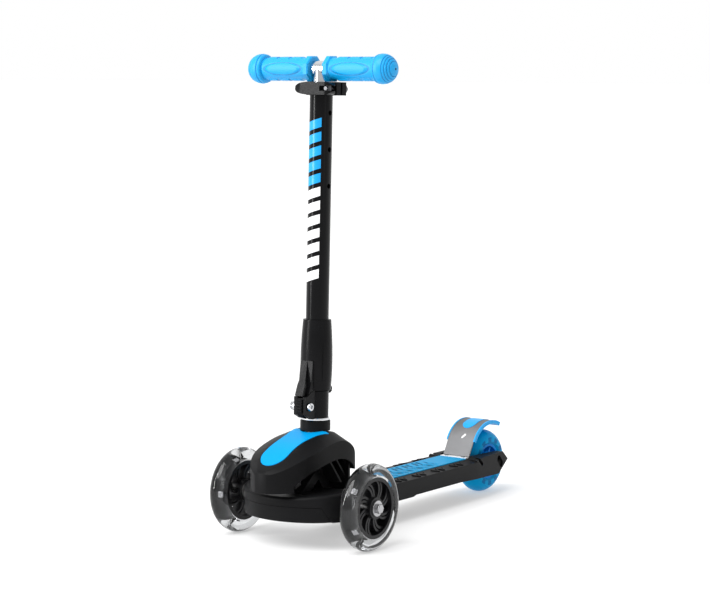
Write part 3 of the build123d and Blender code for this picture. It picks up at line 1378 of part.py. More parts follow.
with BuildPart() as brake_pad:
    add(brake_band(-BRAKE_T / 2 - PAD_T, -BRAKE_T / 2, BRAKE_STRAIGHT - 1))
    extrude(amount=BRAKE_HALF, both=True, dir=X_AXIS)
    add(pad_tongue.part)
    add(brake_slot.part, mode=Mode.SUBTRACT)
    for side in (1, -1):
        edge = brake_band(-BRAKE_T / 2 - PAD_T, BRAKE_T / 2 + PAD_PROUD, BRAKE_STRAIGHT - 1)
        add(edge.moved(Location((side * BRAKE_HALF, 0, 0))))
        extrude(amount=PAD_EDGE, dir=(side, 0, 0))
brake_pad.part.label = "brake_pad"
export_step(brake_pad.part, "parts/brake_pad.step")

with BuildPart() as brake_foot:
    with Locations(FLOOR.offset(DECK_TOP)):
        with Locations((0, BRAKE_ROOT - FOOT_LENGTH / 2)):
            Box(2 * BRAKE_HALF, FOOT_LENGTH, BRAKE_T, align=RISE)
        with Locations(Location((0, BRAKE_ROOT, BRAKE_T / 2), (0, 90, 0))):
            Cylinder(BRAKE_T / 2, 2 * BRAKE_HALF)
        with Locations(*BRAKE_SCREWS):
            Cylinder(BRAKE_SCREW_R, BRAKE_T, align=RISE, mode=Mode.SUBTRACT)
brake_foot.part.label = "brake_foot"
export_step(brake_foot.part, "parts/brake_foot.step")

with BuildPart() as brake_screws:
    with Locations(FLOOR.offset(DECK_TOP + BRAKE_T)):
        with Locations(*BRAKE_SCREWS):
            Cylinder(BRAKE_SCREW_R, BRAKE_T + BRAKE_SCREW_DEPTH, align=SINK)
            Cylinder(BRAKE_SCREW_HEAD_R, BRAKE_SCREW_HEAD_H, align=RISE)
    fillet(brake_screws.edges().group_by(Axis.Z)[-1], BRAKE_SCREW_HEAD_H / 2)
brake_screws.part.label = "brake_screws"
export_step(brake_screws.part, "parts/brake_screws.step")
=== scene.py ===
import json
from math import atan2, cos, hypot, pi, radians, sin

import bpy
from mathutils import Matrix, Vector


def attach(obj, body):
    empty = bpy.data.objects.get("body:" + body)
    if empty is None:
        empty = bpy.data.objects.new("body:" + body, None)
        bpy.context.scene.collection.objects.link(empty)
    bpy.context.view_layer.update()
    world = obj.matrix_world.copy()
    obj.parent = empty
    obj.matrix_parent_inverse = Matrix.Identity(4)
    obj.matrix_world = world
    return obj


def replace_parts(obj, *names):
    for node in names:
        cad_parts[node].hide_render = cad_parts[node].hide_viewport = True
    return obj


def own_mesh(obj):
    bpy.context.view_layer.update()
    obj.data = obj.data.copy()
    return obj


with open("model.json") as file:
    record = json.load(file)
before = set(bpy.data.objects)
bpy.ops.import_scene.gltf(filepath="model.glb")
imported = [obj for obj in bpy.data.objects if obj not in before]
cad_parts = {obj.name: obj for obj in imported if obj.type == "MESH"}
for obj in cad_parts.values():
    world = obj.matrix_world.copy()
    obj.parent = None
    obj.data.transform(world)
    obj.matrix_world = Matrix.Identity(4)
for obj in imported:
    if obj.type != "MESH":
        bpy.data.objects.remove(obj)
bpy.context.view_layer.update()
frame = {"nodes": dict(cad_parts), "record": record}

# A child's kick scooter: blue and black, with clear front tyres.
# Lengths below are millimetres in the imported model's frame, and MM turns them into metres.
MM = 0.001

# Places shared with the solids
FRONT_Y = -201.5
REAR_Y = FRONT_Y + 450.0
TRACK = 224.0
FRONT_R = 60.0
REAR_R = 48.0
DECK_TOP = 62.3
COLUMN_TILT = radians(2.0)
COLUMN_FOOT = Vector((0.0, FRONT_Y + 27.4, 152.0))
COLUMN_UP = Vector((0.0, sin(COLUMN_TILT), cos(COLUMN_TILT)))
COLUMN_FRONT = Vector((0.0, -cos(COLUMN_TILT), sin(COLUMN_TILT)))
SIDEWAYS = Vector((1.0, 0.0, 0.0))
TUBE_R = 15.9
TUBE_TOP = 479.8
BAR_S = TUBE_TOP + 18.0
BAR_CENTRE = COLUMN_FOOT + COLUMN_UP * BAR_S
CROSSBAR_R = 11.1

# Camera: place, axes and lens of the view in the photograph
CAMERA_PLACE = Vector((1841.6, -2615.7, 656.6))
CAMERA_AZIMUTH = radians(35.69)
CAMERA_ELEVATION = radians(6.44)
CAMERA_LENS = 113.09
CAMERA_SHIFT = (-0.0163, 0.0217)


def smooth_step(low, high, value):
    """0 below low, 1 above high, and a smooth rise between."""
    t = min(1.0, max(0.0, (value - low) / (high - low)))
    return t * t * (3 - 2 * t)


# Materials
CLOUD_SCALE = 22.0
GRAIN_DEPTH = 0.0004


def add_node(tree, kind, place=(0, 0), **values):
    """A shader node at a place in its tree, with its settings."""
    node = tree.nodes.new(kind)
    node.location = place
    for name, value in values.items():
        setattr(node, name, value)
    return node


def surface(name, colour, roughness, grain=900.0, bump=0.05, vary=0.08, rough_vary=0.06, **sockets):
    """A material with a little noise in its colour, its roughness and its grain."""
    material = bpy.data.materials.new(name)
    material.use_nodes = True
    tree = material.node_tree
    shader = tree.nodes["Principled BSDF"]
    place = add_node(tree, "ShaderNodeTexCoord", (-1200, 0))

    cloud = add_node(tree, "ShaderNodeTexNoise", (-900, 300))
    cloud.inputs["Scale"].default_value = CLOUD_SCALE
    cloud.inputs["Detail"].default_value = 6.0
    tree.links.new(place.outputs["Object"], cloud.inputs["Vector"])

    tint = add_node(tree, "ShaderNodeValToRGB", (-600, 300))
    dark = [channel * (1 - vary) for channel in colour]
    light = [min(1.0, channel * (1 + vary)) for channel in colour]
    tint.color_ramp.elements[0].position = 0.3
    tint.color_ramp.elements[0].color = (*dark, 1)
    tint.color_ramp.elements[1].position = 0.7
    tint.color_ramp.elements[1].color = (*light, 1)
    tree.links.new(cloud.outputs["Fac"], tint.inputs["Fac"])
    tree.links.new(tint.outputs["Color"], shader.inputs["Base Color"])

    wear = add_node(tree, "ShaderNodeMapRange", (-600, 0))
    wear.inputs["To Min"].default_value = max(0.0, roughness - rough_vary)
    wear.inputs["To Max"].default_value = min(1.0, roughness + rough_vary)
    tree.links.new(cloud.outputs["Fac"], wear.inputs["Value"])
    tree.links.new(wear.outputs["Result"], shader.inputs["Roughness"])

    fine = add_node(tree, "ShaderNodeTexNoise", (-900, -300))
    fine.inputs["Scale"].default_value = grain
    fine.inputs["Detail"].default_value = 3.0
    tree.links.new(place.outputs["Object"], fine.inputs["Vector"])
    relief = add_node(tree, "ShaderNodeBump", (-300, -300))
    relief.inputs["Strength"].default_value = bump
    relief.inputs["Distance"].default_value = GRAIN_DEPTH
    tree.links.new(fine.outputs["Fac"], relief.inputs["Height"])
    tree.links.new(relief.outputs["Normal"], shader.inputs["Normal"])

    for socket, value in sockets.items():
        shader.inputs[socket.replace("_", " ")].default_value = value
    return material


black_plastic = surface(
    "black_plastic", (0.0055, 0.0055, 0.006), 0.42, grain=1400, bump=0.16, vary=0.15, Specular_IOR_Level=0.08,
)
black_satin = surface(
    "black_satin", (0.005, 0.005, 0.0055), 0.27, grain=1400, bump=0.08, vary=0.15, Specular_IOR_Level=0.10,
)
black_gloss = surface(
    "black_gloss", (0.003, 0.003, 0.0035), 0.18, grain=300, bump=0.02, Specular_IOR_Level=0.15,
)
grip_rubber = surface(
    "grip_rubber", (0.0, 0.33, 0.72), 0.42, grain=1800, bump=0.10, vary=0.05, Specular_IOR_Level=0.4,
)
# Darker blue for the grips' ring and pad grooves: painted shade.
grip_painted_shade = surface("grip_painted_shade", (0.0, 0.22, 0.52), 0.50, grain=1800, bump=0.10, vary=0.05)
grip_dot = surface("grip_dot", (0.0, 0.05, 0.12), 0.60, grain=1800, bump=0.10)
plate_blue = surface(
    "plate_blue", (0.0, 0.285, 0.64), 0.38, grain=1200, bump=0.04, vary=0.04, Specular_IOR_Level=0.06,
)
mat_blue = surface(
    "mat_blue", (0.002, 0.25, 0.49), 0.48, grain=1500, bump=0.14, vary=0.06, Specular_IOR_Level=0.12,
)
# Dark blue for the mat's grooves between the chevrons: painted shade.
mat_groove_painted_shade = surface(
    "mat_groove_painted_shade", (0.002, 0.06, 0.14), 0.55, grain=1500, bump=0.14, vary=0.06, Specular_IOR_Level=0.1,
)
mat_hole = surface("mat_hole", (0.004, 0.05, 0.07), 0.55, grain=1500, bump=0.14)
chrome = surface("chrome", (0.66, 0.67, 0.69), 0.13, grain=500, bump=0.02, vary=0.03, Metallic=1.0)
steel = surface("steel", (0.18, 0.18, 0.184), 0.58, grain=1100, bump=0.30, vary=0.14, Metallic=0.8)
bolt_steel = surface("bolt_steel", (0.40, 0.40, 0.41), 0.2, grain=500, bump=0.02, vary=0.04, Metallic=1.0)
# A much lighter copy of the steel for the brake's foot: painted highlight.
steel_painted_highlight = surface("steel_painted_highlight", (0.8, 0.8, 0.81), 0.42, grain=900, bump=0.1, vary=0.06, Metallic=0.4)
dark_steel = surface("dark_steel", (0.10, 0.10, 0.105), 0.35, grain=900, bump=0.05, vary=0.10, Metallic=1.0)
clear_tyre = surface(
    "clear_tyre", (0.64, 0.65, 0.66), 0.04, grain=120, bump=0.004, vary=0.02, rough_vary=0.02,
    Transmission_Weight=1.0, IOR=1.45,
)
blue_tyre = surface(
    "blue_tyre", (0.0, 0.29, 0.59), 0.26, grain=200, bump=0.01, vary=0.06, rough_vary=0.03,
    Specular_IOR_Level=0.05,
)
tyre_shade = surface(
    "tyre_shade", (0.0, 0.14, 0.35), 0.26, grain=200, bump=0.01, vary=0.10, rough_vary=0.03,
    Specular_IOR_Level=0.05,
)
core_black = surface(
    "core_black", (0.006, 0.006, 0.007), 0.30, grain=900, bump=0.05, vary=0.15, Specular_IOR_Level=0.25,
)
core_blue = surface(
    "core_blue", (0.0, 0.21, 0.66), 0.30, grain=900, bump=0.05, vary=0.06, Specular_IOR_Level=0.06,
)
pad_blue = surface(
    "pad_blue", (0.0, 0.31, 0.70), 0.36, grain=1200, bump=0.05, vary=0.05, Specular_IOR_Level=0.3,
)
lamp_metal = surface("lamp_metal", (0.42, 0.42, 0.43), 0.24, grain=800, bump=0.10, vary=0.30, Metallic=0.9)
# Flat near-black for steel parts that sit in a recess: painted shade.
recess_painted_shade = surface(
    "recess_painted_shade", (0.002, 0.002, 0.002), 0.60, grain=900, bump=0.05, Specular_IOR_Level=0.06,
)
inner_plastic = surface("inner_plastic", (0.50, 0.50, 0.48), 0.50, grain=900, bump=0.08)
bush_rubber = surface("bush_rubber", (0.02, 0.02, 0.02), 0.70, grain=900, bump=0.12)
film_blue = surface("film_blue", (0.0, 0.31, 0.72), 0.30, grain=900, bump=0.03, vary=0.03)
film_white = surface("film_white", (0.86, 0.86, 0.86), 0.30, grain=900, bump=0.03, vary=0.02)

SLOT_MATERIALS = {
    "black_plastic": black_plastic,
    "black_gloss": black_gloss,
    "grip_blue": grip_rubber,
    "plate_blue": plate_blue,
    "mat_blue": mat_blue,
    "chrome": chrome,
    "steel": steel,
    "clear_tyre": clear_tyre,
    "blue_tyre": blue_tyre,
    "core_black": core_black,
    "core_blue": core_blue,
    "pad_blue": pad_blue,
    "light_white": lamp_metal,
    "inner_plastic": inner_plastic,
    "bush_rubber": bush_rubber,
}


# Some solids differ from the rest of their slot
NODE_MATERIALS = {
    "hinge_cover": black_satin,
    "hinge_block": black_satin,
    "clamp_lever": black_satin,
    "clamp_barrel": dark_steel,
    "clamp_bolt": dark_steel,
    "clamp_nut": dark_steel,
    "left_axle": bolt_steel,
    "right_axle": bolt_steel,
    "axle_washers": bolt_steel,
    # The brake's foot takes the lighter steel: painted highlight.
    "brake_foot": steel_painted_highlight,
    # The rear axle and its nut take painted shade of their recess in place of steel.
    "rear_axle": recess_painted_shade,
    "rear_axle_nut": recess_painted_shade,
}

# Carried-over solids: their materials, welded seams and softly rounded edges
WELD_REACH = 0.002
FLAT_ANGLE = radians(0.4)
EDGE_ANGLE = radians(35)
EDGE_WIDTH = 0.4


def soften(node, width):
    """Weld a solid's faces and round its sharp edges a little."""
    split_normals = node.data.attributes.get("custom_normal")
    if split_normals:
        node.data.attributes.remove(split_normals)
    node.data.shade_smooth()
    weld = node.modifiers.new("weld", "WELD")
    weld.merge_threshold = WELD_REACH * MM
    flat = node.modifiers.new("flat", "DECIMATE")
    flat.decimate_type = "DISSOLVE"
    flat.angle_limit = FLAT_ANGLE
    bevel = node.modifiers.new("edges", "BEVEL")
    bevel.width = width * MM
    bevel.segments = 2
    bevel.limit_method = "ANGLE"
    bevel.angle_limit = EDGE_ANGLE
    bevel.harden_normals = True
    node.data.set_sharp_from_angle(angle=EDGE_ANGLE)


for entry in frame["record"]["subparts"]:
    solid = frame["nodes"][entry["node"]]
    solid.data.materials.clear()
    slot_material = SLOT_MATERIALS[entry["material_slot"]]
    solid.data.materials.append(NODE_MATERIALS.get(entry["node"], slot_material))
    soften(solid, EDGE_WIDTH)


# New pieces are built from grids of points

def make_piece(name, points, faces, material, body):
    """A mesh piece from points in millimetres, riding on a body."""
    mesh = bpy.data.meshes.new(name)
    mesh.from_pydata([point * MM for point in points], [], faces)
    mesh.shade_smooth()
    mesh.materials.append(material)
    piece = bpy.data.objects.new(name, mesh)
    bpy.context.scene.collection.objects.link(piece)
    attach(piece, body)
    return piece


def ring_faces(rings, count):
    """Faces between closed rings of points that follow each other."""
    faces = []
    for ring in range(rings - 1):
        for step in range(count):
            after = (step + 1) % count
            faces.append((ring * count + step, ring * count + after,
                          (ring + 1) * count + after, (ring + 1) * count + step))
    return faces


# Handlebar grips: octagonal flange, long oval pads, notched ribs and a ringed bulb
GRIP_START = 12.0
GRIP_BODY_R = 15.3
PAD_RISE = 1.3
PAD_MIDDLE = 57.0
PAD_HALF_LENGTH = 31.0
PAD_HALF_WIDTH = 9.2
PAD_EDGE = (0.80, 0.96)
PAD_GROOVE = 0.6
PAD_GROOVE_PLACE = 1.02
PAD_GROOVE_HALF = 0.09
RIB_RISE = 1.3
RIB_HALF_WIDTH = 8.0
NOTCHES = (50.0, 71.0)
NOTCH_HALF = 2.6
RIB_SPAN = ((29.0, 32.0), (86.0, 89.0))
FLANGE_R = 17.4
FLANGE_FALL = (19.5, 22.0)
FLANGE_EDGE = 1.6
LIP_START = 94.0
LIP_RISE = ((0.0, GRIP_BODY_R), (0.4, 17.6), (1.2, 18.9), (2.2, 19.6))
BULB_X = 102.8
BULB_R = 20.7
BULB_RINGS = (0.52, 0.73, 0.92, 1.11, 1.73)
BULB_RING_DEPTH = 0.9
BULB_RING_HALF = 0.045
BULB_STEPS = 90
BULB_TURN = pi / 2 + 0.30
DIMPLE_DEPTH = 0.9
DIMPLE_TURN = (0.03, 0.075)
DOT_R = 1.5
GRIP_SIDES = 160


def octagon(angle):
    """How far an octagon's side stands out, against its flats, at an angle."""
    part = (angle + pi / 8) % (pi / 4) - pi / 8
    return 1 / cos(part)


def pad_share(place, angle):
    """How far out a place lies on the nearer oval pad: 1 on its outline."""
    arc = abs((angle + pi) % (2 * pi) - pi)
    from_side = abs(arc - pi / 2) * GRIP_BODY_R
    return hypot((place - PAD_MIDDLE) / PAD_HALF_LENGTH, from_side / PAD_HALF_WIDTH)


def pad_groove_share(place, angle):
    """How deep a place lies in the groove round an oval pad, from 0 to 1."""
    return max(0.0, 1 - abs(pad_share(place, angle) - PAD_GROOVE_PLACE) / PAD_GROOVE_HALF)


def ring_share(turn):
    """How deep a place lies in the bulb's ring grooves, from 0 to 1, at an angle from its tip."""
    return max(max(0.0, 1 - abs(turn - ring) / BULB_RING_HALF) for ring in BULB_RINGS)


def grip_radius(place, angle):
    """Radius of a grip at a place along it and an angle from straight up."""
    body = GRIP_BODY_R
    arc = abs((angle + pi) % (2 * pi) - pi)
    from_top = min(arc, pi - arc) * body
    body += PAD_RISE * (1 - smooth_step(*PAD_EDGE, pad_share(place, angle)))
    body -= PAD_GROOVE * pad_groove_share(place, angle)
    rib = 1 - smooth_step(RIB_HALF_WIDTH - 2, RIB_HALF_WIDTH, from_top)
    for notch in NOTCHES:
        rib *= smooth_step(NOTCH_HALF - 1, NOTCH_HALF, abs(place - notch))
    rib *= smooth_step(*RIB_SPAN[0], place) * (1 - smooth_step(*RIB_SPAN[1], place))
    body += RIB_RISE * rib
    flange = FLANGE_R * octagon(angle)
    share = smooth_step(*FLANGE_FALL, place)
    edge = FLANGE_EDGE * (1 - smooth_step(GRIP_START, GRIP_START + FLANGE_EDGE, place))
    return flange * (1 - share) + body * share - edge


def grip_look(place, off_axis, angle):
    """Which material a place on a grip has: plain 0, groove darkened with painted shade 1, tip dot 2."""
    turn = atan2(off_axis, place - BULB_X)
    if place > BULB_X and off_axis < DOT_R:
        return 2
    if place > LIP_START + 3 and ring_share(turn) > 0.3:
        return 1
    return int(place < LIP_START and pad_groove_share(place, angle) > 0.4)


def grip(side, name):
    """One grip, its profile turned about the bar."""
    rows = [(GRIP_START, lambda angle: CROSSBAR_R + 0.1)]
    place = GRIP_START
    while place < LIP_START:
        rows.append((place, lambda angle, place=place: grip_radius(place, angle)))
        place += 0.4 if place < GRIP_START + 2 else 0.7
    for past_lip, radius in LIP_RISE:
        rows.append((LIP_START + past_lip, lambda angle, radius=radius: radius))
    for step in range(BULB_STEPS + 1):
        turn = BULB_TURN * (1 - step / BULB_STEPS)
        dimple = DIMPLE_DEPTH * (1 - smooth_step(*DIMPLE_TURN, turn))
        radius = BULB_R - BULB_RING_DEPTH * ring_share(turn) - dimple
        rows.append((BULB_X + radius * cos(turn), lambda angle, r=radius * sin(turn): max(r, 0.02)))
    points = []
    for place, shape in rows:
        for step in range(GRIP_SIDES):
            angle = 2 * pi * step / GRIP_SIDES
            radius = shape(angle)
            points.append(BAR_CENTRE + Vector((side * place, -radius * sin(angle), radius * cos(angle))))
    faces = ring_faces(len(rows), GRIP_SIDES)
    faces.append(tuple(range((len(rows) - 1) * GRIP_SIDES, len(rows) * GRIP_SIDES)))
    if side < 0:
        faces = [tuple(reversed(face)) for face in faces]
    piece = make_piece(name, points, faces, grip_rubber, "handlebar")
    piece.data.set_sharp_from_angle(angle=radians(30))
    piece.data.materials.append(grip_painted_shade)
    piece.data.materials.append(grip_dot)
    # Faces in the ring and pad grooves take the darker blue, painted shade; the bulb's tip takes its dot.
    for face in piece.data.polygons:
        spot = face.center / MM - BAR_CENTRE
        face.material_index = grip_look(side * spot.x, hypot(spot.y, spot.z), atan2(-spot.y, spot.z))
    return piece


for side, name in ((1, "left"), (-1, "right")):
    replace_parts(grip(side, f"{name}_grip_rubber"), f"{name}_grip")


# Button spring: a strip inside the stem, riding on the handlebar
SPRING_EDGE = 0.2
strip = frame["nodes"]["button_spring"]
spring = bpy.data.objects.new("button_spring_strip", strip.data.copy())
bpy.context.scene.collection.objects.link(spring)
soften(spring, SPRING_EDGE)
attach(spring, "handlebar")
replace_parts(spring, "button_spring")
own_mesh(spring)


# Wheels: tyres turned about their axles, sunk a little into their cores
FRONT_CORE_R = 42.0
FRONT_TYRE_W = 25.0
REAR_CORE_R = 27.0
REAR_TYRE_W = 36.0
TYRE_SIDES = 192
TYRE_ARC_STEPS = 40
SHOULDER = 11.0
SUNK = 0.4


def tyre_profile(core_r, outer_r, width):
    """Points (along the axle, radius) round a tyre's section."""
    half = width / 2
    lip = width / 12
    crown = (half * half + SHOULDER * SHOULDER) / (2 * SHOULDER)
    points = [(lip - half, core_r - SUNK), (lip - half, core_r), (-half, core_r + lip)]
    for step in range(TYRE_ARC_STEPS + 1):
        place = -half * cos(pi * step / TYRE_ARC_STEPS)
        points.append((place, outer_r - crown + (crown * crown - place * place) ** 0.5))
    points += [(half, core_r + lip), (half - lip, core_r), (half - lip, core_r - SUNK)]
    return points


def tyre(name, hub, core_r, outer_r, width, material, body, slot):
    """A tyre piece turned about an axle along X through its hub."""
    profile = tyre_profile(core_r, outer_r, width)
    points = []
    for place, radius in profile:
        for step in range(TYRE_SIDES):
            turn = 2 * pi * step / TYRE_SIDES
            points.append(hub + Vector((place, radius * cos(turn), radius * sin(turn))))
    faces = ring_faces(len(profile), TYRE_SIDES)
    last = (len(profile) - 1) * TYRE_SIDES
    for step in range(TYRE_SIDES):
        after = (step + 1) % TYRE_SIDES
        faces.append((last + step, last + after, after, step))
    piece = make_piece(name, points, faces, material, body)
    piece.data.set_sharp_from_angle(angle=radians(40))
    return piece


for side, name in ((1, "left"), (-1, "right")):
    hub = Vector((side * TRACK / 2, FRONT_Y, FRONT_R))
    size = (FRONT_CORE_R, FRONT_R, FRONT_TYRE_W)
    piece = tyre(f"{name}_clear_tyre", hub, *size, clear_tyre, f"{name}_wheel", "clear_tyre")
    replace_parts(piece, f"{name}_wheel_tyre")
rear_hub = Vector((0, REAR_Y, REAR_R))
size = (REAR_CORE_R, REAR_R, REAR_TYRE_W)
rear_tyre = tyre("rear_blue_tyre", rear_hub, *size, blue_tyre, "rear_wheel", "blue_tyre")
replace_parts(rear_tyre, "rear_wheel_tyre")

# The core's pegs show through the rear tyre's sides as darker marks
PEGS = 12
PEG_MARK_HALF = radians(7.0)
PEG_MARK_BAND = (30.0, 37.0)

rear_tyre.data.materials.append(tyre_shade)
for face in rear_tyre.data.polygons:
    spot = face.center / MM - rear_hub
    turn = (atan2(spot.z, spot.y) + pi / PEGS) % (2 * pi / PEGS) - pi / PEGS
    on_band = PEG_MARK_BAND[0] < hypot(spot.y, spot.z) < PEG_MARK_BAND[1]
    face.material_index = int(on_band and abs(turn) < PEG_MARK_HALF)


# Column: plain slanted bars of film, blue above white, on the tube's front
BAR_HALF_TURN = radians(40)
BAR_SLANT = 7.0
BAR_HEIGHT = 12.5
BAR_PITCH = 18.8
BAR_STEPS = 16
FILM_T = 0.2


def film_bar(name, low, material, slot):
    """One slanted bar wrapped round the front of the column tube, as a thin closed sheet."""
    points = []
    for step in range(BAR_STEPS + 1):
        turn = BAR_HALF_TURN * (2 * step / BAR_STEPS - 1)
        outward = COLUMN_FRONT * cos(turn) + SIDEWAYS * sin(turn)
        slant = BAR_SLANT * step / BAR_STEPS
        for height in (low + slant, low + slant + BAR_HEIGHT):
            axis_point = COLUMN_FOOT + COLUMN_UP * height
            points.append(axis_point + outward * (TUBE_R + FILM_T))
            points.append(axis_point + outward * (TUBE_R - FILM_T))
    faces = []
    for step in range(BAR_STEPS):
        a = 4 * step
        b = a + 4
        faces += [(a, b, b + 2, a + 2), (a + 1, a + 3, b + 3, b + 1)]
        faces += [(a, a + 1, b + 1, b), (a + 2, b + 2, b + 3, a + 3)]
    end = 4 * BAR_STEPS
    faces += [(0, 2, 3, 1), (end, end + 1, end + 3, end + 2)]
    piece = make_piece(name, points, faces, material, "column")
    piece.data.set_sharp_from_angle(angle=radians(40))


BLUE_BARS = 5
WHITE_BARS = 7
WHITE_LOW = 205.0
for bar in range(WHITE_BARS + BLUE_BARS):
    film = (film_white, "light_white") if bar < WHITE_BARS else (film_blue, "plate_blue")
    film_bar(f"column_bar_{bar + 1}", WHITE_LOW + bar * BAR_PITCH, *film)


# Deck mat: a sheet with raised chevrons and rows of small holes
MAT_HALF = 24.0
MAT_START = 58.15
MAT_END = 373.85
MAT_LOW = DECK_TOP - 0.9
MAT_T = 2.4
MAT_CELL = 1.0
CHEVRON_PITCH = 26.0
CHEVRON_HALF = 5.0
CHEVRON_LEAN = 0.55
CHEVRON_RISE = 0.9
GROOVE_W = 4.0
PATTERN_START = 66.0
PATTERN_END = 314.0
HOLE_ROWS = (-12.0, 12.0)
HOLE_HALF = (3.9, 5.0)


def mat_hole_share(x, y):
    """How near a place is to the middle of a hole: under 1 is inside."""
    if not PATTERN_START < y < PATTERN_END:
        return 2.0
    along = (y - PATTERN_START - CHEVRON_LEAN * abs(x)) % CHEVRON_PITCH - CHEVRON_PITCH / 2
    return min(hypot((x - row) / HOLE_HALF[1], along / HOLE_HALF[0]) for row in HOLE_ROWS)


def groove_share(x, y):
    """How deep a place lies in the grooves between the chevrons: 0 on the plain face, 1 at their floor."""
    lean = y - PATTERN_START - CHEVRON_LEAN * abs(x)
    from_bar = abs((lean + CHEVRON_PITCH / 2) % CHEVRON_PITCH - CHEVRON_PITCH / 2)
    groove = smooth_step(CHEVRON_HALF - 1, CHEVRON_HALF + 1, from_bar)
    groove *= 1 - smooth_step(CHEVRON_HALF + GROOVE_W - 1, CHEVRON_HALF + GROOVE_W + 1, from_bar)
    groove *= smooth_step(PATTERN_START - 2, PATTERN_START + 2, y)
    groove *= 1 - smooth_step(PATTERN_END - 2, PATTERN_END + 2, y)
    return groove * (1 - smooth_step(MAT_HALF - 5, MAT_HALF - 3, abs(x)))


def mat_rise(x, y):
    """Height of the mat's face above its plain level."""
    edge = min(MAT_HALF - abs(x), y - MAT_START, MAT_END - y)
    fall = 0.5 * (1 - smooth_step(0, 1.5, edge))
    hole = 1 - smooth_step(0.7, 1.1, mat_hole_share(x, y))
    return -fall - CHEVRON_RISE * max(groove_share(x, y), hole)


def deck_mat():
    """The mat as one closed sheet, its top a grid of points."""
    columns = round(2 * MAT_HALF / MAT_CELL)
    rows = round((MAT_END - MAT_START) / MAT_CELL)
    across = [-MAT_HALF + 2 * MAT_HALF * step / columns for step in range(columns + 1)]
    along = [MAT_START + (MAT_END - MAT_START) * step / rows for step in range(rows + 1)]
    points = []
    for y in along:
        for x in across:
            points.append(Vector((x, FRONT_Y + y, MAT_LOW + MAT_T + mat_rise(x, y))))
    width = columns + 1
    faces = []
    looks = []
    for row in range(rows):
        for column in range(columns):
            a = row * width + column
            faces.append((a, a + 1, a + 1 + width, a + width))
            middle = (across[column] + MAT_CELL / 2, along[row] + MAT_CELL / 2)
            grooved = 1 if groove_share(*middle) > 0.5 else 0
            looks.append(2 if mat_hole_share(*middle) < 0.8 else grooved)
    rim = list(range(width))
    rim += [row * width + columns for row in range(1, rows + 1)]
    rim += [rows * width + column for column in range(columns - 1, -1, -1)]
    rim += [row * width for row in range(rows - 1, 0, -1)]
    first = len(points)
    for index in rim:
        points.append(Vector((points[index].x, points[index].y, MAT_LOW)))
    for step, index in enumerate(rim):
        after = (step + 1) % len(rim)
        faces.append((index, first + step, first + after, rim[after]))
    faces.append(tuple(range(first + len(rim) - 1, first - 1, -1)))
    piece = make_piece("deck_mat_sheet", points, faces, mat_blue, "frame")
    # Groove faces take the dark blue of painted shade.
    piece.data.materials.append(mat_groove_painted_shade)
    piece.data.materials.append(mat_hole)
    for face, look in zip(piece.data.polygons, looks):
        face.material_index = look
    piece.data.set_sharp_from_angle(angle=radians(50))
    return piece


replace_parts(deck_mat(), "deck_mat")


# Deck strips: raised zigzag ridges along both sides of the mat
RIDGE_PATH = ((0.0, -3.0), (7.5, 5.0), (14.0, -4.5), (21.5, 5.0), (29.0, -3.0))
RIDGE_HALF = 2.2
RIDGE_RISE = 1.5
RIDGE_SECTION = ((-1.0, -0.3), (-0.6, RIDGE_RISE), (0.6, RIDGE_RISE), (1.0, -0.3))
RIDGE_MIDDLE = 35.5
RIDGE_PLACES = tuple(72.0 + 49.0 * step for step in range(6))
STRIP_START = 26.4
STRIP_END = 44.0
STRIP_DROP = 2.6


def strip_height(x):
    """Height of a deck strip's sloping face at a distance from the middle."""
    return DECK_TOP - STRIP_DROP * (x - STRIP_START) / (STRIP_END - STRIP_START)


def zigzag(name, side, place):
    """One zigzag ridge with sloping flanks, lying on a strip."""
    points = []
    for along, aside in RIDGE_PATH:
        for share, rise in RIDGE_SECTION:
            x = RIDGE_MIDDLE + aside + share * RIDGE_HALF
            points.append(Vector((side * x, FRONT_Y + place + along, strip_height(x) + rise)))
    count = len(RIDGE_SECTION)
    faces = ring_faces(len(RIDGE_PATH), count)
    last = (len(RIDGE_PATH) - 1) * count
    faces += [(3, 2, 1, 0), (last, last + 1, last + 2, last + 3)]
    if side < 0:
        faces = [tuple(reversed(face)) for face in faces]
    piece = make_piece(name, points, faces, black_plastic, "frame")
    piece.data.set_sharp_from_angle(angle=radians(25))


for side, name in ((1, "left"), (-1, "right")):
    for step, place in enumerate(RIDGE_PLACES):
        zigzag(f"{name}_ridge_{step + 1}", side, place)


# Brake: a pale plug in the plate's slanted slot
BRAKE_ROOT = Vector((0.0, FRONT_Y + 383.0, 63.3))
BRAKE_RISE = radians(60)
BRAKE_ALONG = Vector((0.0, cos(BRAKE_RISE), sin(BRAKE_RISE)))
BRAKE_ACROSS = Vector((0.0, -sin(BRAKE_RISE), cos(BRAKE_RISE)))
SLOT_MIDDLE = BRAKE_ROOT + BRAKE_ALONG * 33.6 + SIDEWAYS * 2.5
SLOT_TURN = radians(51)
SLOT_HALF = 2.8
PLUG_R = 1.7
PLUG_TOP = 0.35
PLUG_LOW = -2.5
PLUG_STEPS = 12


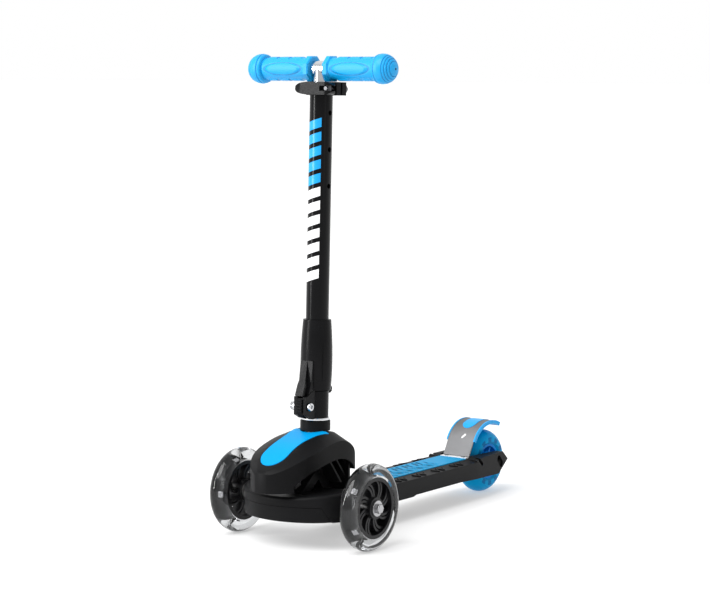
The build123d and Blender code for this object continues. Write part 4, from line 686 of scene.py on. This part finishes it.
def brake_plug():
    """A rounded bar that fills the brake's slot to just under its face."""
    way = SIDEWAYS * cos(SLOT_TURN) + BRAKE_ALONG * sin(SLOT_TURN)
    aside = BRAKE_ALONG * cos(SLOT_TURN) - SIDEWAYS * sin(SLOT_TURN)
    outline = []
    for end in (1, -1):
        for step in range(PLUG_STEPS + 1):
            turn = pi * step / PLUG_STEPS - pi / 2
            outline.append(end * (way * (SLOT_HALF + PLUG_R * cos(turn)) + aside * PLUG_R * sin(turn)))
    points = []
    for level, inset in ((PLUG_LOW, 1.0), (PLUG_TOP - 0.3, 1.0), (PLUG_TOP, 0.85)):
        points += [SLOT_MIDDLE + spot * inset + BRAKE_ACROSS * level for spot in outline]
    count = len(outline)
    faces = ring_faces(3, count)
    faces.append(tuple(range(2 * count, 3 * count)))
    faces.append(tuple(range(count - 1, -1, -1)))
    piece = make_piece("brake_slot_plug", points, faces, film_white, "brake")
    piece.data.set_sharp_from_angle(angle=radians(40))


brake_plug()


# Floor, light and camera
VIEW_WAY = Vector((-sin(CAMERA_AZIMUTH), cos(CAMERA_AZIMUTH), 0.0))
SUN_WAY = Vector((0.06, 0.60, -0.80))


def sun_light(name, way, strength, spread):
    """A far light that shines along a way, its shadows softened by its spread."""
    data = bpy.data.lights.new(name, "SUN")
    data.energy = strength
    data.angle = radians(spread)
    light = bpy.data.objects.new(name, data)
    light.rotation_mode = "QUATERNION"
    light.rotation_quaternion = way.to_track_quat("-Z", "Y")
    bpy.context.scene.collection.objects.link(light)


def area_light(name, place, target, size, power):
    """A rectangular light at a place, in metres, that faces a target."""
    data = bpy.data.lights.new(name, "AREA")
    data.shape = "RECTANGLE"
    data.size, data.size_y = size
    data.energy = power
    light = bpy.data.objects.new(name, data)
    light.location = place
    light.rotation_mode = "QUATERNION"
    light.rotation_quaternion = (Vector(target) - Vector(place)).to_track_quat("-Z", "Y")
    bpy.context.scene.collection.objects.link(light)


sun_light("sun", SUN_WAY, 2.6, 45)
area_light("strip_light", (-1.5, -2.2, 1.1), (0, -0.1, 0.4), (0.28, 1.8), 40)
area_light("side_light", (2.4, -0.6, 1.2), (0, 0, 0.3), (0.5, 1.6), 1.5)

# World: white ahead of the camera, greyer overhead and behind it
SKY_STOPS = ((0.0, 0.60), (0.35, 0.62), (0.5, 0.70), (0.66, 1.0))
world = bpy.data.worlds.new("studio")
world.use_nodes = True
sky = world.node_tree
way = add_node(sky, "ShaderNodeTexCoord", (-1100, 0))
ahead = add_node(sky, "ShaderNodeVectorMath", (-900, 0), operation="DOT_PRODUCT")
ahead.inputs[1].default_value = VIEW_WAY
share = add_node(sky, "ShaderNodeMapRange", (-700, 0))
share.inputs["From Min"].default_value = -1.0
shade = add_node(sky, "ShaderNodeValToRGB", (-500, 0))
for step, (place, value) in enumerate(SKY_STOPS):
    if step < 2:
        stop = shade.color_ramp.elements[step]
        stop.position = place
    else:
        stop = shade.color_ramp.elements.new(place)
    stop.color = (value, value, value, 1)
sky.links.new(way.outputs["Generated"], ahead.inputs[0])
sky.links.new(ahead.outputs["Value"], share.inputs["Value"])
sky.links.new(share.outputs["Result"], shade.inputs["Fac"])
sky.links.new(shade.outputs["Color"], sky.nodes["Background"].inputs["Color"])
sky.nodes["Background"].inputs["Strength"].default_value = 1.0
bpy.context.scene.world = world

# Floor: white round the scooter, fading to grey towards the camera
FLOOR_HALF = 60.0
FLOOR_FADE = (-4.5, -1.3)
FLOOR_STOPS = ((0.0, 0.36), (1.0, 0.55))
FLOOR_GLOW = 0.73
floor_material = bpy.data.materials.new("floor")
floor_material.use_nodes = True
tree = floor_material.node_tree
shader = tree.nodes["Principled BSDF"]
place = add_node(tree, "ShaderNodeTexCoord", (-1100, 0))
depth = add_node(tree, "ShaderNodeVectorMath", (-900, 0), operation="DOT_PRODUCT")
depth.inputs[1].default_value = VIEW_WAY
fade = add_node(tree, "ShaderNodeMapRange", (-700, 0), interpolation_type="SMOOTHSTEP")
fade.inputs["From Min"].default_value, fade.inputs["From Max"].default_value = FLOOR_FADE
paint = add_node(tree, "ShaderNodeValToRGB", (-500, 0))
for step, (spot, value) in enumerate(FLOOR_STOPS):
    paint.color_ramp.elements[step].position = spot
    paint.color_ramp.elements[step].color = (value, value, value, 1)
tree.links.new(place.outputs["Object"], depth.inputs[0])
tree.links.new(depth.outputs["Value"], fade.inputs["Value"])
tree.links.new(fade.outputs["Result"], paint.inputs["Fac"])
tree.links.new(paint.outputs["Color"], shader.inputs["Base Color"])
tree.links.new(paint.outputs["Color"], shader.inputs["Emission Color"])
shader.inputs["Emission Strength"].default_value = FLOOR_GLOW
shader.inputs["Roughness"].default_value = 0.8
shader.inputs["Specular IOR Level"].default_value = 0.0

floor_mesh = bpy.data.meshes.new("floor")
floor_mesh.from_pydata(
    [(-FLOOR_HALF, -FLOOR_HALF, 0), (FLOOR_HALF, -FLOOR_HALF, 0),
     (FLOOR_HALF, FLOOR_HALF, 0), (-FLOOR_HALF, FLOOR_HALF, 0)], [], [(0, 1, 2, 3)],
)
floor_mesh.materials.append(floor_material)
floor = bpy.data.objects.new("floor", floor_mesh)
bpy.context.scene.collection.objects.link(floor)

camera_data = bpy.data.cameras.new("camera")
camera_data.lens = CAMERA_LENS
camera_data.sensor_width = 36.0
camera_data.shift_x, camera_data.shift_y = CAMERA_SHIFT
camera_data.clip_end = 100.0
camera = bpy.data.objects.new("camera", camera_data)
camera.location = CAMERA_PLACE * MM
camera.rotation_euler = (pi / 2 - CAMERA_ELEVATION, 0, CAMERA_AZIMUTH)
bpy.context.scene.collection.objects.link(camera)
bpy.context.scene.camera = camera

bpy.context.scene.view_settings.view_transform = "Standard"
